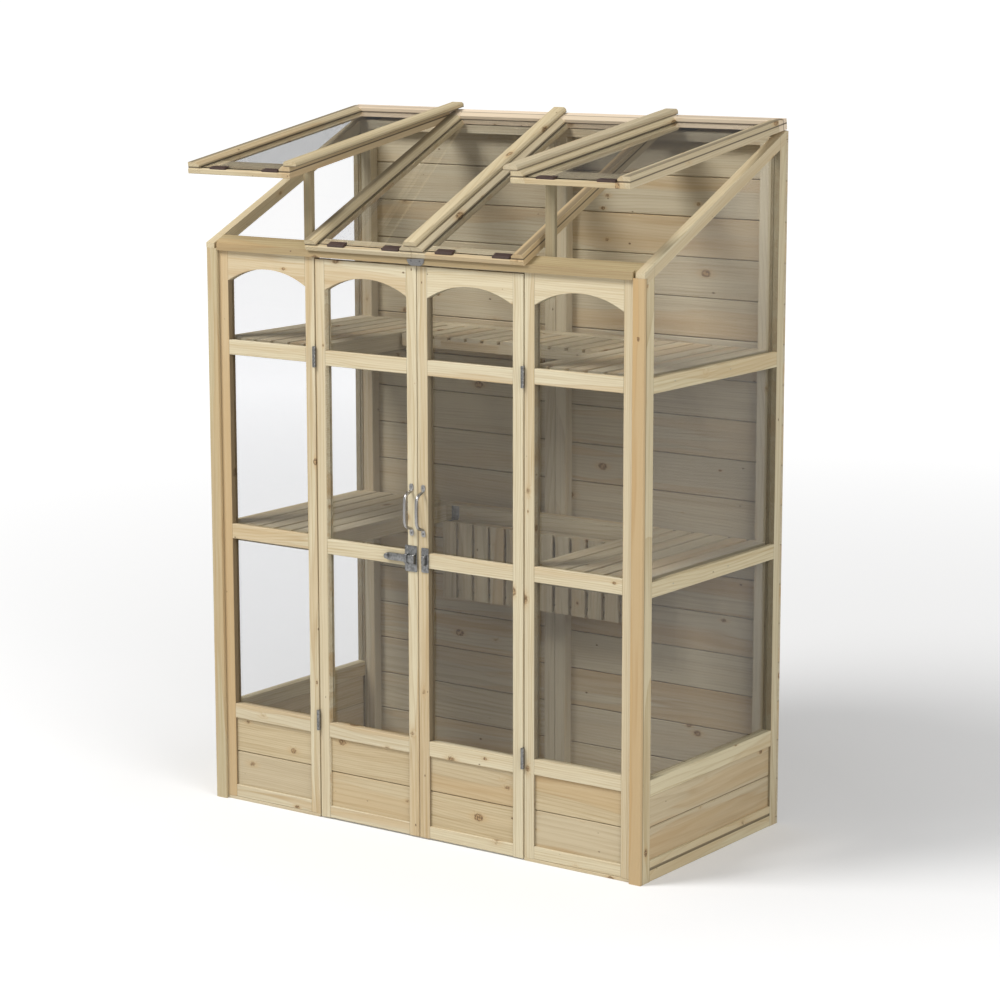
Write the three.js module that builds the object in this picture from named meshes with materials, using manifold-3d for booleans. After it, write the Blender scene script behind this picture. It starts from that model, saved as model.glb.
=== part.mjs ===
// Wooden lean-to mini greenhouse: a tall glazed pine cabinet that stands against a wall.
// Millimetres, +Z up, front faces -Y, the wall is at +Y.
import * as THREE from 'three';
import { mergeVertices } from 'three/addons/utils/BufferGeometryUtils.js';
import Module from 'manifold-3d';

const wasm = await Module();
wasm.setup();

// Overall sizes
const overallWidth = 1460;
const frameDepth = 697;
const halfWidth = overallWidth / 2;
const roofSlope = THREE.MathUtils.degToRad(25);
const leftVentLift = THREE.MathUtils.degToRad(15.25);
const rightVentLift = THREE.MathUtils.degToRad(16.6);
const seatHeight = 1611.5;
const seatRise = Math.tan(roofSlope);
const gap = 0.3;
const edgeEase = 1.5;
const tenon = 12;
const overrun = 5;

// Front leaves: two fixed panels and a pair of doors
const leafThickness = 28;
const leafHeight = 1577;
const plinthHeight = 9;
const doorRaise = 4;
const doorWidth = 347;
const meetingGap = 2;
const middleGap = 1;
const hingeGap = 4;
const fixedStile = 32;
const doorStile = 34;
const bottomRail = 35;
const claddingHeight = 199;
const railHeight = 42;
const railShy = 0.4;
const lowerRailBase = 759;
const upperRailBase = 1285;
const midRailThickness = 16;
const headDepth = 45;
const archRise = 38;
const slotDepth = 8;
const leadingBevel = 2;

// Sheet and cladding
const sheetThickness = 2.5;
const sheetSetback = 17;
const boardThickness = 12;
const boardSetback = 7;
const grooveHalf = 3;
const grooveDepth = 4;

// Side panels
const sideThickness = 28;
const sideFrontStile = 35;
const sideRearStile = 33;
const sideBottomRail = 58;
const sideGrooveBase = 32;
const sideGrooveTop = 37;
const sideGrooveDepth = 3;
const sideDadoBase = 231;
const sideDadoHeight = 45;
const sideLowerRailBase = 762;
const sideUpperRailBase = 1294;
const sideTopRail = 32;

// Corner strips and header
const stripWidth = 37;
const stripThickness = 9.7;
const stripTop = 1592;
const headerBack = 33;
const headerPlateWidth = 57;
const headerPlateCorner = 17;
const headerPlateThickness = 2;
const headerPlateDrop = 3.1;
const headerPlateHeight = 20.5;
const headerPlateOffset = 6.5;

// Back wall
const backBoardThickness = 9;
const backGroove = 20;
const backBoardPitch = 111;
const battenWidth = 36;
const battenDepth = 32;
const wallPlateHeight = 38;
const backBottomRail = 40;
const backHousing = 1;

// Shelves
const upperShelfTop = 1340;
const lowerShelfTop = 808;
const shelfRail = 50;
const shelfRailStep = 2;
const slatThickness = 11;
const slatGap = 10.5;
const sideSlats = 6;
const centreSlats = 12;
const slatHousing = 1;
const bearerWidth = 18;
const sideBearerHeight = 39;
const sideShelfInner = 353;
const centreShelfHalf = 337;
const centreShelfDepth = 226;
const centreBearerHeight = 25;
const shelfHingeRadius = 3.2;
const shelfHingeLength = 27;
const shelfHingeInset = 17.5;
const leafPlate = 1.5;
const shelfLeafHeight = 38;

// Roof lights
const roofJointGap = 1;
const ventSideGap = 2.5;
const roofLength = 780;
const roofThickness = 32;
const roofStile = 38;
const roofStileFlat = 28;
const roofStileStep = 8;
const roofLedge = 6;
const roofRebate = 14;
const topRailWidth = 40;
const topRailDrop = 2;
const roofBottomRail = 45;
const stileSetback = 3;
const roofSheetOverlap = 8;
const sheetEave = 14;
const clipLength = 55;
const clipWidth = 20;
const clipThickness = 2.5;
const clipReach = 24;
const clipShares = [0.286, 0.798];
const coverWidth = 44;
const coverThickness = 14;
const coverSlant = 5;
const coverSetback = 4;
const ventHingeRadius = 3.2;
const ventHingeLength = 50;
const ventHingeLeaf = 30;
const ventHingeShares = [0.18, 0.82];

// Vent props
const propWidth = 29;
const propDepth = 11.5;
const propClear = 9;
const propInset = 22.5;
const propLength = 262;

// Door furniture
const hingeRadius = 5;
const hingeHeight = 58;
const hingeForward = 5.6;
const hingeLeafDepth = 22;
const lowerHingeCentre = 284;
const upperHingeCentre = 1312;
const boltHeight = 785;
const handleAboveBolt = 135;
const handleInset = 19;
const handleStandoff = 32;
const handleRod = 4.5;
const handleGripHalf = 28;
const handleFootHalf = 52;
const handleKneeHalf = 47;
const handleKneeShare = 0.55;
const handlePlateWidth = 14;
const handlePlateHeight = 29;
const handlePlateThickness = 2.5;
const boltBarHeight = 20;
const boltBarThickness = 7;
const boltBarRound = 3;
const boltClear = 0.6;
const boltLength = 95;
const boltSetback = 4;
const boltKnobRadius = 8.5;
const boltPlateWidth = 41;
const boltPlateHeight = 72;
const fittingPlate = 2.5;
const strapWall = 2.5;
const strapWidth = 9;
const strapInset = 4;
const keepWidth = 24;
const keepInset = 13;
const keepHeight = 68;

// Round shapes
const arcSegments = 18;
const rodSides = 12;
const rodSteps = 36;

const pine = { color: 0xd9c9a0, roughness: 0.72, metalness: 0 };
const paleBoard = { color: 0xd3c49c, roughness: 0.75, metalness: 0 };
const ridgePine = { color: 0xdfcba4, roughness: 0.72, metalness: 0 };
const shelfPine = { color: 0xa3946f, roughness: 0.8, metalness: 0 };
const steel = { color: 0xb9bcc0, roughness: 0.35, metalness: 0.9 };
const zinc = { color: 0x9aa3ad, roughness: 0.5, metalness: 0.85 };
const glazing = { color: 0xe9f0f2, roughness: 0.1, metalness: 0, transparent: true, opacity: 0.35 };

// Closed geometry to solid and back
function solidOf(geometry) {
  const bare = geometry.clone();
  bare.deleteAttribute('normal');
  bare.deleteAttribute('uv');
  const merged = mergeVertices(bare, 1e-4);
  const vertProperties = new Float32Array(merged.attributes.position.array);
  const triVerts = new Uint32Array(merged.index.array);
  return new wasm.Manifold(new wasm.Mesh({ numProp: 3, vertProperties, triVerts }));
}

function geometryOf(solid) {
  const mesh = solid.getMesh();
  const geometry = new THREE.BufferGeometry();
  geometry.setAttribute('position', new THREE.BufferAttribute(mesh.vertProperties, 3));
  geometry.setIndex(new THREE.BufferAttribute(mesh.triVerts, 1));
  geometry.computeVertexNormals();
  return geometry;
}

function join(solids) {
  return solids.reduce((whole, next) => whole.add(next));
}

// Prisms: an outline in two axes, run along the third between two places
const alongX = new THREE.Vector3(1, 0, 0);
const alongY = new THREE.Vector3(0, 1, 0);
const alongZ = new THREE.Vector3(0, 0, 1);

function shapeOf(points) {
  return new THREE.Shape(points.map(([a, b]) => new THREE.Vector2(a, b)));
}

function prism(shape, depth, right, up, start) {
  const geometry = new THREE.ExtrudeGeometry(shape, {
    depth,
    bevelEnabled: false,
    curveSegments: arcSegments,
  });
  const forward = right.clone().cross(up);
  const turn = new THREE.Matrix4().makeBasis(right, up, forward);
  geometry.applyMatrix4(turn.setPosition(start));
  return solidOf(geometry);
}

function prismX(shape, [x0, x1]) {
  return prism(shape, x1 - x0, alongY, alongZ, new THREE.Vector3(x0, 0, 0));
}

function prismY(shape, [y0, y1]) {
  return prism(shape, y1 - y0, alongX, alongZ, new THREE.Vector3(0, y1, 0));
}

function prismZ(shape, [z0, z1]) {
  return prism(shape, z1 - z0, alongX, alongY, new THREE.Vector3(0, 0, z0));
}

function rectangle([a0, a1], [b0, b1], ease = 0) {
  if (ease === 0) {
    return shapeOf([[a0, b0], [a1, b0], [a1, b1], [a0, b1]]);
  }
  return shapeOf([
    [a0 + ease, b0], [a1 - ease, b0], [a1, b0 + ease], [a1, b1 - ease],
    [a1 - ease, b1], [a0 + ease, b1], [a0, b1 - ease], [a0, b0 + ease],
  ]);
}

function block(x, y, z) {
  return prismZ(rectangle(x, y), z);
}

// Planed timber: a bar whose four long edges are eased
function timber(x, y, z, ease = edgeEase) {
  const lengths = [x[1] - x[0], y[1] - y[0], z[1] - z[0]];
  const longest = lengths.indexOf(Math.max(...lengths));
  if (longest === 0) return prismX(rectangle(y, z, ease), x);
  if (longest === 1) return prismY(rectangle(x, z, ease), y);
  return prismZ(rectangle(x, y, ease), z);
}

function cylinderX(radius, [x0, x1], y, z) {
  const circle = new THREE.Shape();
  circle.absarc(y, z, radius, 0, 2 * Math.PI);
  return prismX(circle, [x0, x1]);
}

function cylinderZ(radius, x, y, range) {
  const circle = new THREE.Shape();
  circle.absarc(x, y, radius, 0, 2 * Math.PI);
  return prismZ(circle, range);
}

// A range measured outwards from the middle, on the left (-1) or the right (1)
function mirrored(sign, [near, far]) {
  return sign < 0 ? [-far, -near] : [near, far];
}

function span(start, length) {
  return [start, start + length];
}

// The plane that the roof lights lie on, at a depth y behind the front
function seatAt(y) {
  return seatHeight + seatRise * y;
}

const sides = [['left', -1], ['right', 1]];
const fixedOuter = halfWidth - sideThickness - gap;
const doorOuter = meetingGap / 2 + doorWidth;
const fixedInner = doorOuter + hingeGap;
const fixedBase = plinthHeight + gap;
const headerBase = fixedBase + leafHeight + gap;
const backFace = frameDepth - backBoardThickness;
const battenFront = backFace - battenDepth;
const shelfRailBack = battenFront - gap;
const shelfRailFront = shelfRailBack - shelfRail;

const group = new THREE.Group();

function addNode(name, solid, finish, parent = group) {
  const material = new THREE.MeshStandardMaterial(finish);
  material.name = name;
  const mesh = new THREE.Mesh(geometryOf(solid), material);
  mesh.name = name;
  parent.add(mesh);
  return mesh;
}

// Framed leaf: two stiles, rails tenoned between them and a head board with an arched underside,
// grooved behind for one sheet and for the cladding
const dadoBase = bottomRail + claddingHeight;
const archCrown = leafHeight - headDepth;
const leafSheetHeights = [dadoBase + railHeight - slotDepth, archCrown + slotDepth];
const leafCladdingHeights = [bottomRail - slotDepth, dadoBase + slotDepth];
const sheetDepths = span(sheetSetback, sheetThickness);
const claddingDepths = span(boardSetback, boardThickness);

const railDepths = [railShy, leafThickness - railShy];

function widened([from, to], clearance) {
  return [from - clearance, to + clearance];
}

function raised([from, to], base) {
  return [from + base, to + base];
}

function leafFrame([x0, x1], base, leftStile, rightStile) {
  const opening = [x0 + leftStile, x1 - rightStile];
  const inner = widened(opening, tenon);
  const full = [0, leafThickness];
  const shallow = [railShy, midRailThickness];
  const frame = join([
    timber([x0, opening[0]], full, span(base, leafHeight)),
    timber([opening[1], x1], full, span(base, leafHeight)),
    timber(inner, railDepths, span(base + railShy, bottomRail - railShy)),
    timber(inner, railDepths, span(base + dadoBase, railHeight)),
    timber(inner, shallow, span(base + lowerRailBase, railHeight)),
    timber(inner, shallow, span(base + upperRailBase, railHeight)),
    archedHead(opening, base),
  ]);
  const slotWidth = widened(opening, slotDepth + gap);
  const sheetSlot = block(slotWidth, widened(sheetDepths, gap),
    raised(widened(leafSheetHeights, gap), base));
  const boardSlot = block(slotWidth, widened(claddingDepths, gap),
    raised(widened(leafCladdingHeights, gap), base));
  return frame.subtract(sheetSlot).subtract(boardSlot);
}

// Head board with its underside sawn to a shallow arc
function archedHead([x0, x1], base) {
  const width = x1 - x0;
  const radius = (width * width) / (8 * archRise) + archRise / 2;
  const half = Math.asin(width / 2 / radius);
  const centre = (x0 + x1) / 2;
  const spring = base + archCrown - archRise;
  const top = base + leafHeight - railShy;
  const shape = new THREE.Shape();
  shape.moveTo(x1 + tenon, spring);
  shape.lineTo(x1 + tenon, top);
  shape.lineTo(x0 - tenon, top);
  shape.lineTo(x0 - tenon, spring);
  shape.lineTo(x0, spring);
  shape.absarc(centre, base + archCrown - radius, radius, Math.PI / 2 + half, Math.PI / 2 - half, true);
  return prismY(shape, railDepths);
}

// Tongued and grooved boards: a plain back, and a V along each joint of the front
function boardProfile([front, back], [low, high], joints) {
  const face = joints.flatMap((joint) => [
    [front, joint - grooveHalf], [front + grooveDepth, joint], [front, joint + grooveHalf],
  ]);
  return [[front, low], ...face, [front, high], [back, high], [back, low]];
}

function leafCladding([x0, x1], base, leftStile, rightStile) {
  const joint = base + bottomRail + claddingHeight / 2;
  const outline = boardProfile(claddingDepths, raised(leafCladdingHeights, base), [joint]);
  return prismX(shapeOf(outline), widened([x0 + leftStile, x1 - rightStile], slotDepth));
}

function leafSheet([x0, x1], base, leftStile, rightStile) {
  const width = widened([x0 + leftStile, x1 - rightStile], slotDepth);
  return block(width, sheetDepths, raised(leafSheetHeights, base));
}

function addLeaf(name, x, base, leftStile, rightStile, frame) {
  addNode(`${name}_frame`, frame, pine);
  addNode(`${name}_cladding`, leafCladding(x, base, leftStile, rightStile), paleBoard);
  addNode(`${name}_glazing`, leafSheet(x, base, leftStile, rightStile), glazing);
}

// Fixed panels: the outer stile runs on behind the corner strip, and a plinth fills the foot
const hiddenStile = fixedOuter - (halfWidth - stripWidth) + fixedStile;
for (const [side, sign] of sides) {
  const x = mirrored(sign, [fixedInner, fixedOuter]);
  const stiles = sign < 0 ? [hiddenStile, fixedStile] : [fixedStile, hiddenStile];
  addLeaf(`${side}_front`, x, fixedBase, ...stiles, leafFrame(x, fixedBase, ...stiles));
  addNode(`${side}_plinth`, timber(x, [0, leafThickness], [0, plinthHeight]), pine);
}

// Doors: the edges that meet are planed back towards the inside, so that both can open together.
// Each hinge's other leaf lies on the door's outer edge.
const doorHingeCentres = { lower: lowerHingeCentre, upper: upperHingeCentre };
const handleCentre = boltHeight + handleAboveBolt;

function hingeRange(centre) {
  return [centre - hingeHeight / 2, centre + hingeHeight / 2];
}

function doorLeafPlate(sign, centre) {
  const x = mirrored(sign, [doorOuter - edgeEase, doorOuter + leafPlate]);
  return block(x, [edgeEase, hingeLeafDepth - hingeForward], hingeRange(centre));
}

function doorFrame(sign, x) {
  const edge = meetingGap / 2;
  const shape = shapeOf([
    [sign * edge, 0], [sign * (edge + leadingBevel), leafThickness],
    [0, leafThickness], [0, 0],
  ]);
  const shaving = prismZ(shape, widened(span(doorRaise, leafHeight), overrun));
  const plates = Object.values(doorHingeCentres).map((centre) => doorLeafPlate(sign, centre));
  return join([leafFrame(x, doorRaise, doorStile, doorStile), ...plates]).subtract(shaving);
}

for (const [side, sign] of sides) {
  const x = mirrored(sign, [meetingGap / 2, doorOuter]);
  addLeaf(`${side}_door`, x, doorRaise, doorStile, doorStile, doorFrame(sign, x));
  addNode(`${side}_handle`, doorHandle(sign * (meetingGap / 2 + handleInset)), steel);
  for (const [level, centre] of Object.entries(doorHingeCentres)) {
    addNode(`${side}_${level}_hinge`, doorHinge(sign, centre), zinc);
  }
}

// Butt hinge: the knuckle stands in front of the gap, its leaf lies on the fixed stile's edge
function doorHinge(sign, centre) {
  const z = hingeRange(centre);
  const x = mirrored(sign, [fixedInner - gap - leafPlate, fixedInner - gap]);
  const leaf = block(x, span(-hingeForward, hingeLeafDepth), z);
  return cylinderZ(hingeRadius, sign * (doorOuter + hingeGap / 2), -hingeForward, z).add(leaf);
}

// Pull handle: a bent rod whose ends are flattened into screwed feet
function doorHandle(x) {
  const face = -gap - handlePlateThickness / 2;
  const knee = face - handleStandoff * handleKneeShare;
  const profile = [[face, handleFootHalf], [knee, handleKneeHalf], [-handleStandoff, handleGripHalf]];
  const stations = [
    ...profile,
    [-handleStandoff, 0],
    ...profile.toReversed().map(([y, height]) => [y, -height]),
  ];
  const route = stations.map(([y, height]) => new THREE.Vector3(x, y, handleCentre - height));
  const section = new THREE.Shape();
  section.absarc(0, 0, handleRod, 0, 2 * Math.PI);
  const rod = solidOf(new THREE.ExtrudeGeometry(section, {
    steps: rodSteps,
    extrudePath: new THREE.CatmullRomCurve3(route),
    curveSegments: rodSides / 2,
  }));
  const width = [x - handlePlateWidth / 2, x + handlePlateWidth / 2];
  const foot = handleFootHalf + handlePlateHeight / 2 - 2 * handleRod;
  const feet = [-1, 1].map((end) => {
    const middle = handleCentre + end * foot;
    const height = [middle - handlePlateHeight / 2, middle + handlePlateHeight / 2];
    return timber(width, [-gap - handlePlateThickness, -gap], height, handlePlateThickness / 3);
  });
  const behind = block(widened([x, x], handlePlateWidth), [-gap, handleRod + overrun],
    widened([handleCentre, handleCentre], 2 * handleFootHalf));
  return join([rod, ...feet]).subtract(behind);
}

// Pad bolt: a flat bar that runs in staples on one door and into a staple on the other
const boltMiddle = gap + fittingPlate + boltClear + boltBarThickness / 2;

function barSection(clearance, ease) {
  return rectangle(
    widened([-boltMiddle, -boltMiddle], boltBarThickness / 2 + clearance),
    widened([boltHeight, boltHeight], boltBarHeight / 2 + clearance),
    ease,
  );
}

function boltStaple([x0, x1]) {
  const outer = boltMiddle + boltBarThickness / 2 + boltClear + strapWall;
  const half = boltBarHeight / 2 + boltClear + strapWall;
  const height = widened([boltHeight, boltHeight], half);
  return prismX(rectangle([-outer, -gap], height, boltBarRound), [x0, x1])
    .add(block([x0, x1], [-gap - fittingPlate, -gap], height));
}

function fitting([x0, x1], plateHeight, staples) {
  const height = widened([boltHeight, boltHeight], plateHeight / 2);
  const plate = timber([x0, x1], [-gap - fittingPlate, -gap], height, fittingPlate / 3);
  const bore = prismX(barSection(boltClear, 0), widened([x0, x1], overrun));
  return join([plate, ...staples]).subtract(bore);
}

function boltCarrier() {
  const x1 = -meetingGap / 2 - gap;
  const x0 = x1 - boltPlateWidth;
  return fitting([x0, x1], boltPlateHeight, [
    boltStaple(span(x0 + strapInset, strapWidth)),
    boltStaple(span(x1 - strapInset - strapWidth, strapWidth)),
  ]);
}

function boltKeep() {
  const middle = keepInset + keepWidth / 2;
  return fitting(span(keepInset, keepWidth), keepHeight, [
    boltStaple(span(middle - strapWidth / 2, strapWidth)),
  ]);
}

function slidingBolt() {
  const tip = -meetingGap / 2 - boltSetback;
  const bar = prismX(barSection(0, boltBarRound), [tip - boltLength, tip]);
  const knob = new THREE.SphereGeometry(boltKnobRadius, rodSides, rodSides / 2);
  knob.translate(tip - boltLength, -boltMiddle, boltHeight);
  const front = -gap - boltClear;
  const trim = block(widened([tip - boltLength, tip - boltLength], 2 * boltKnobRadius),
    [front, front + 2 * boltKnobRadius], widened([boltHeight, boltHeight], 2 * boltKnobRadius));
  return bar.add(solidOf(knob)).subtract(trim);
}

addNode('bolt_carrier', boltCarrier(), zinc);
addNode('door_bolt', slidingBolt(), zinc);
addNode('bolt_keep', boltKeep(), zinc);

// Header: its top is planed to the roof slope, and its ends run on behind the corner strips
function headerOutline(front) {
  return shapeOf([
    [front, headerBase], [headerBack, headerBase],
    [headerBack, seatAt(headerBack)], [front, seatAt(front)],
  ]);
}

function headerBeam() {
  const visible = halfWidth - stripWidth - gap;
  return join([
    prismX(headerOutline(-stripThickness - gap), [-visible, visible]),
    prismX(headerOutline(0), [-fixedOuter, fixedOuter]),
  ]);
}

// Zinc plate on the middle of the header, straight above and round below
function headerPlate() {
  const back = -stripThickness - 2 * gap;
  const x0 = headerPlateOffset - headerPlateWidth / 2;
  const x1 = headerPlateOffset + headerPlateWidth / 2;
  const base = headerBase - headerPlateDrop;
  const low = base + headerPlateCorner;
  const shape = new THREE.Shape();
  shape.moveTo(x0, base + headerPlateHeight);
  shape.absarc(x0 + headerPlateCorner, low, headerPlateCorner, Math.PI, 3 * Math.PI / 2);
  shape.absarc(x1 - headerPlateCorner, low, headerPlateCorner, 3 * Math.PI / 2, 2 * Math.PI);
  shape.lineTo(x1, base + headerPlateHeight);
  return prismY(shape, [back - headerPlateThickness, back]);
}

addNode('header', headerBeam(), pine);
addNode('header_plate', headerPlate(), zinc);

// Corner strips cover the joints of the front with the sides
for (const [side, sign] of sides) {
  const x = mirrored(sign, [halfWidth - stripWidth, halfWidth]);
  addNode(`${side}_corner_strip`, timber(x, [-stripThickness - gap, -gap], [0, stripTop]), pine);
}

// Side panels: a framed panel whose top rail follows the roof and rests on the corner strip
const sideRear = backFace - gap;
const sideOpening = [sideFrontStile, sideRear - sideRearStile];
const topRailFall = sideTopRail / Math.cos(roofSlope);

function sideRange(sign, [outer, inner]) {
  return mirrored(sign, [halfWidth - inner, halfWidth - outer]);
}

function sideTopAt(y) {
  return seatAt(y) - gap;
}

function sideFrame(sign) {
  const full = sideRange(sign, [0, sideThickness]);
  const shy = sideRange(sign, [railShy, sideThickness - railShy]);
  const shallow = sideRange(sign, [railShy, midRailThickness]);
  const front = -stripThickness - gap;
  const run = widened(sideOpening, tenon);
  const housed = topRailFall / 2;
  const stile = ([y0, y1]) => prismX(shapeOf([
    [y0, 0], [y1, 0], [y1, sideTopAt(y1) - housed], [y0, sideTopAt(y0) - housed],
  ]), shy);
  const topRail = prismX(shapeOf([
    [front, stripTop + gap], [0, stripTop + gap], [0, sideTopAt(0) - topRailFall],
    [sideRear, sideTopAt(sideRear) - topRailFall], [sideRear, sideTopAt(sideRear)],
    [front, sideTopAt(front)],
  ]), full);
  const frame = join([
    stile([0, sideOpening[0]]),
    stile([sideOpening[1], sideRear]),
    topRail,
    timber(shy, run, [railShy, sideBottomRail]),
    timber(shy, run, span(sideDadoBase, sideDadoHeight)),
    timber(shallow, run, span(sideLowerRailBase, railHeight)),
    timber(shallow, run, span(sideUpperRailBase, railHeight)),
  ]);
  const groove = block(sideRange(sign, [-overrun, sideGrooveDepth]), sideOpening,
    [sideGrooveBase, sideGrooveTop]);
  const sheetSlot = prismX(sideSheetShape(gap), sideRange(sign, widened(sheetDepths, gap)));
  const boardSlot = block(sideRange(sign, widened(claddingDepths, gap)),
    widened(sideOpening, slotDepth + gap),
    [sideBottomRail - slotDepth - gap, sideDadoBase + slotDepth + gap]);
  return frame.subtract(groove).subtract(sheetSlot).subtract(boardSlot);
}

function sideSheetShape(clearance) {
  const [front, rear] = widened(sideOpening, slotDepth + clearance);
  const base = sideDadoBase + sideDadoHeight - slotDepth - clearance;
  const fall = topRailFall - slotDepth - clearance;
  return shapeOf([
    [front, base], [rear, base], [rear, sideTopAt(rear) - fall], [front, sideTopAt(front) - fall],
  ]);
}

function sideCladding(sign) {
  const heights = [sideBottomRail - slotDepth, sideDadoBase + slotDepth];
  const joint = (sideBottomRail + sideDadoBase) / 2;
  const outline = boardProfile(claddingDepths, heights, [joint]);
  const placed = outline.map(([depth, z]) => [sign * (halfWidth - depth), z]);
  return prismY(shapeOf(placed), widened(sideOpening, slotDepth));
}

for (const [side, sign] of sides) {
  addNode(`${side}_side_frame`, sideFrame(sign), pine);
  addNode(`${side}_side_cladding`, sideCladding(sign), paleBoard);
  addNode(`${side}_side_glazing`, prismX(sideSheetShape(0), sideRange(sign, sheetDepths)), glazing);
}

// Back panels: tongued and grooved boards nailed to battens, one panel on each side of the middle
const hingeRecess = (leafPlate + gap) / Math.cos(roofSlope);

function backTopAt(y) {
  return seatAt(y) - hingeRecess;
}

function backPanel(sign) {
  const near = middleGap / 2;
  const depth = [battenFront, backFace + backHousing];
  const plateBase = backTopAt(backFace) - wallPlateHeight;
  const top = backTopAt(backFace);
  const joints = [];
  for (let joint = backGroove; joint < top - grooveHalf; joint += backBoardPitch) {
    joints.push(joint);
  }
  const wallPlate = prismX(shapeOf([
    [depth[0], plateBase], [depth[1], plateBase],
    [depth[1], top], [backFace, top], [depth[0], backTopAt(depth[0])],
  ]), mirrored(sign, [near, fixedOuter]));
  return join([
    prismX(shapeOf(boardProfile([backFace, frameDepth], [0, top], joints)),
      mirrored(sign, [near, halfWidth])),
    wallPlate,
    timber(mirrored(sign, [near, fixedOuter]), depth, [0, backBottomRail]),
    timber(mirrored(sign, [fixedOuter - battenWidth, fixedOuter]), depth, [0, plateBase + overrun]),
    timber(mirrored(sign, [near, near + battenWidth]), depth, [0, plateBase + overrun]),
  ]);
}

for (const [side, sign] of sides) {
  addNode(`${side}_back_panel`, backPanel(sign), paleBoard);
}

// Shelf rails cross the back between the side shelves and carry the folding shelf's hinges
const shelfHingeY = shelfRailFront - leafPlate - gap;
const centreShelfRear = shelfHingeY - leafPlate - gap;

function shelfHingeZ(top) {
  return top - slatThickness - centreBearerHeight - shelfHingeRadius - gap;
}

function shelfHingeRanges() {
  const outer = centreShelfHalf - shelfHingeInset + shelfHingeLength / 2;
  return [-1, 1].map((sign) => mirrored(sign, [outer - shelfHingeLength, outer]));
}

function shelfRailBar(top) {
  const half = sideShelfInner - gap;
  const crest = top + shelfRailStep;
  const bar = timber([-half, half], [shelfRailFront, shelfRailBack], [crest - shelfRail, crest]);
  const axis = shelfHingeZ(top);
  const hinges = shelfHingeRanges().flatMap((x) => [
    cylinderX(shelfHingeRadius, x, shelfHingeY, axis),
    block(x, [shelfRailFront - leafPlate, shelfRailFront + leafPlate], span(axis, shelfLeafHeight)),
  ]);
  return join([bar, ...hinges]);
}

// Slatted shelves: slats run from front to back and are let into the bearers
function slats([x0, x1], y, top, count) {
  const width = (x1 - x0 - (count - 1) * slatGap) / count;
  return Array.from({ length: count }, (_, index) => {
    const left = x0 + index * (width + slatGap);
    return timber([left, left + width], y, [top - slatThickness, top]);
  });
}

function bearers([x0, x1], [y0, y1], z, cheeks) {
  return [
    timber([x0, x1], [y0, y0 + bearerWidth], z),
    timber([x0, x1], [y1 - bearerWidth, y1], z),
    ...cheeks.map((left) => timber([left, left + bearerWidth], [y0, y1], z)),
  ];
}

function sideShelf(sign, top) {
  const x = mirrored(sign, [sideShelfInner, fixedOuter]);
  const y = [leafThickness + gap, shelfRailBack];
  const z = [top - slatThickness - sideBearerHeight, top - slatThickness + slatHousing];
  return join([
    ...slats(x, y, top, sideSlats),
    ...bearers(x, y, z, [x[0], x[1] - bearerWidth]),
  ]);
}

// Folding shelf, drawn level
function foldingShelf(top) {
  const x = [-centreShelfHalf, centreShelfHalf];
  const y = [centreShelfRear - centreShelfDepth, centreShelfRear];
  const z = [top - slatThickness - centreBearerHeight, top - slatThickness + slatHousing];
  return join([
    ...slats(x, y, top, centreSlats),
    ...bearers(x, y, z, [x[0], -bearerWidth / 2, x[1] - bearerWidth]),
  ]);
}

for (const [level, top] of [['upper', upperShelfTop], ['lower', lowerShelfTop]]) {
  addNode(`${level}_shelf_rail`, shelfRailBar(top), shelfPine);
  for (const [side, sign] of sides) {
    addNode(`${side}_${level}_shelf`, sideShelf(sign, top), shelfPine);
  }
}

addNode('upper_centre_shelf', foldingShelf(upperShelfTop), shelfPine);

// The lower centre shelf hangs down: a quarter turn about its hinge
const folded = new THREE.Group();
const lowerCentreShelf = addNode('lower_centre_shelf', foldingShelf(lowerShelfTop), shelfPine, folded);
lowerCentreShelf.position.set(0, -shelfHingeY, -shelfHingeZ(lowerShelfTop));
folded.rotation.x = Math.PI / 2;
folded.position.set(0, shelfHingeY, shelfHingeZ(lowerShelfTop));
group.add(folded);

// Roof lights, drawn flat: hinge axis at the origin, +Y up the slope, +Z out of the roof
const hingeAxisY = frameDepth - ventHingeRadius - gap;
const hingeAxisZ = seatAt(hingeAxisY) + gap / Math.cos(roofSlope);
const roofRear = -ventHingeRadius - gap;
const roofEave = roofRear - roofLength;
const lightWidth = (halfWidth - ventSideGap - roofJointGap / 2) / 2;
const roofSheetHeights = span(roofRebate + gap, sheetThickness);

function stileOutline(edge, inward) {
  const at = (distance, height) => [edge + inward * distance, height];
  return shapeOf([
    at(0, 0), at(roofStile + roofLedge, 0), at(roofStile + roofLedge, roofRebate),
    at(roofStile, roofRebate), at(roofStile, roofThickness - roofStileStep),
    at(roofStileFlat, roofThickness), at(edgeEase, roofThickness), at(0, roofThickness - edgeEase),
  ]);
}

function glazingClip(x0, share) {
  const left = x0 + share * lightWidth - clipLength / 2;
  const foot = roofEave + clipReach - clipWidth;
  const top = roofSheetHeights[1] + gap + clipThickness;
  return prismX(shapeOf([
    [foot, roofRebate - gap], [foot + clipWidth - sheetEave, roofRebate - gap],
    [foot + clipWidth - sheetEave, top - clipThickness], [foot + clipWidth, top - clipThickness],
    [foot + clipWidth, top], [foot, top],
  ]), span(left, clipLength));
}

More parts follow.
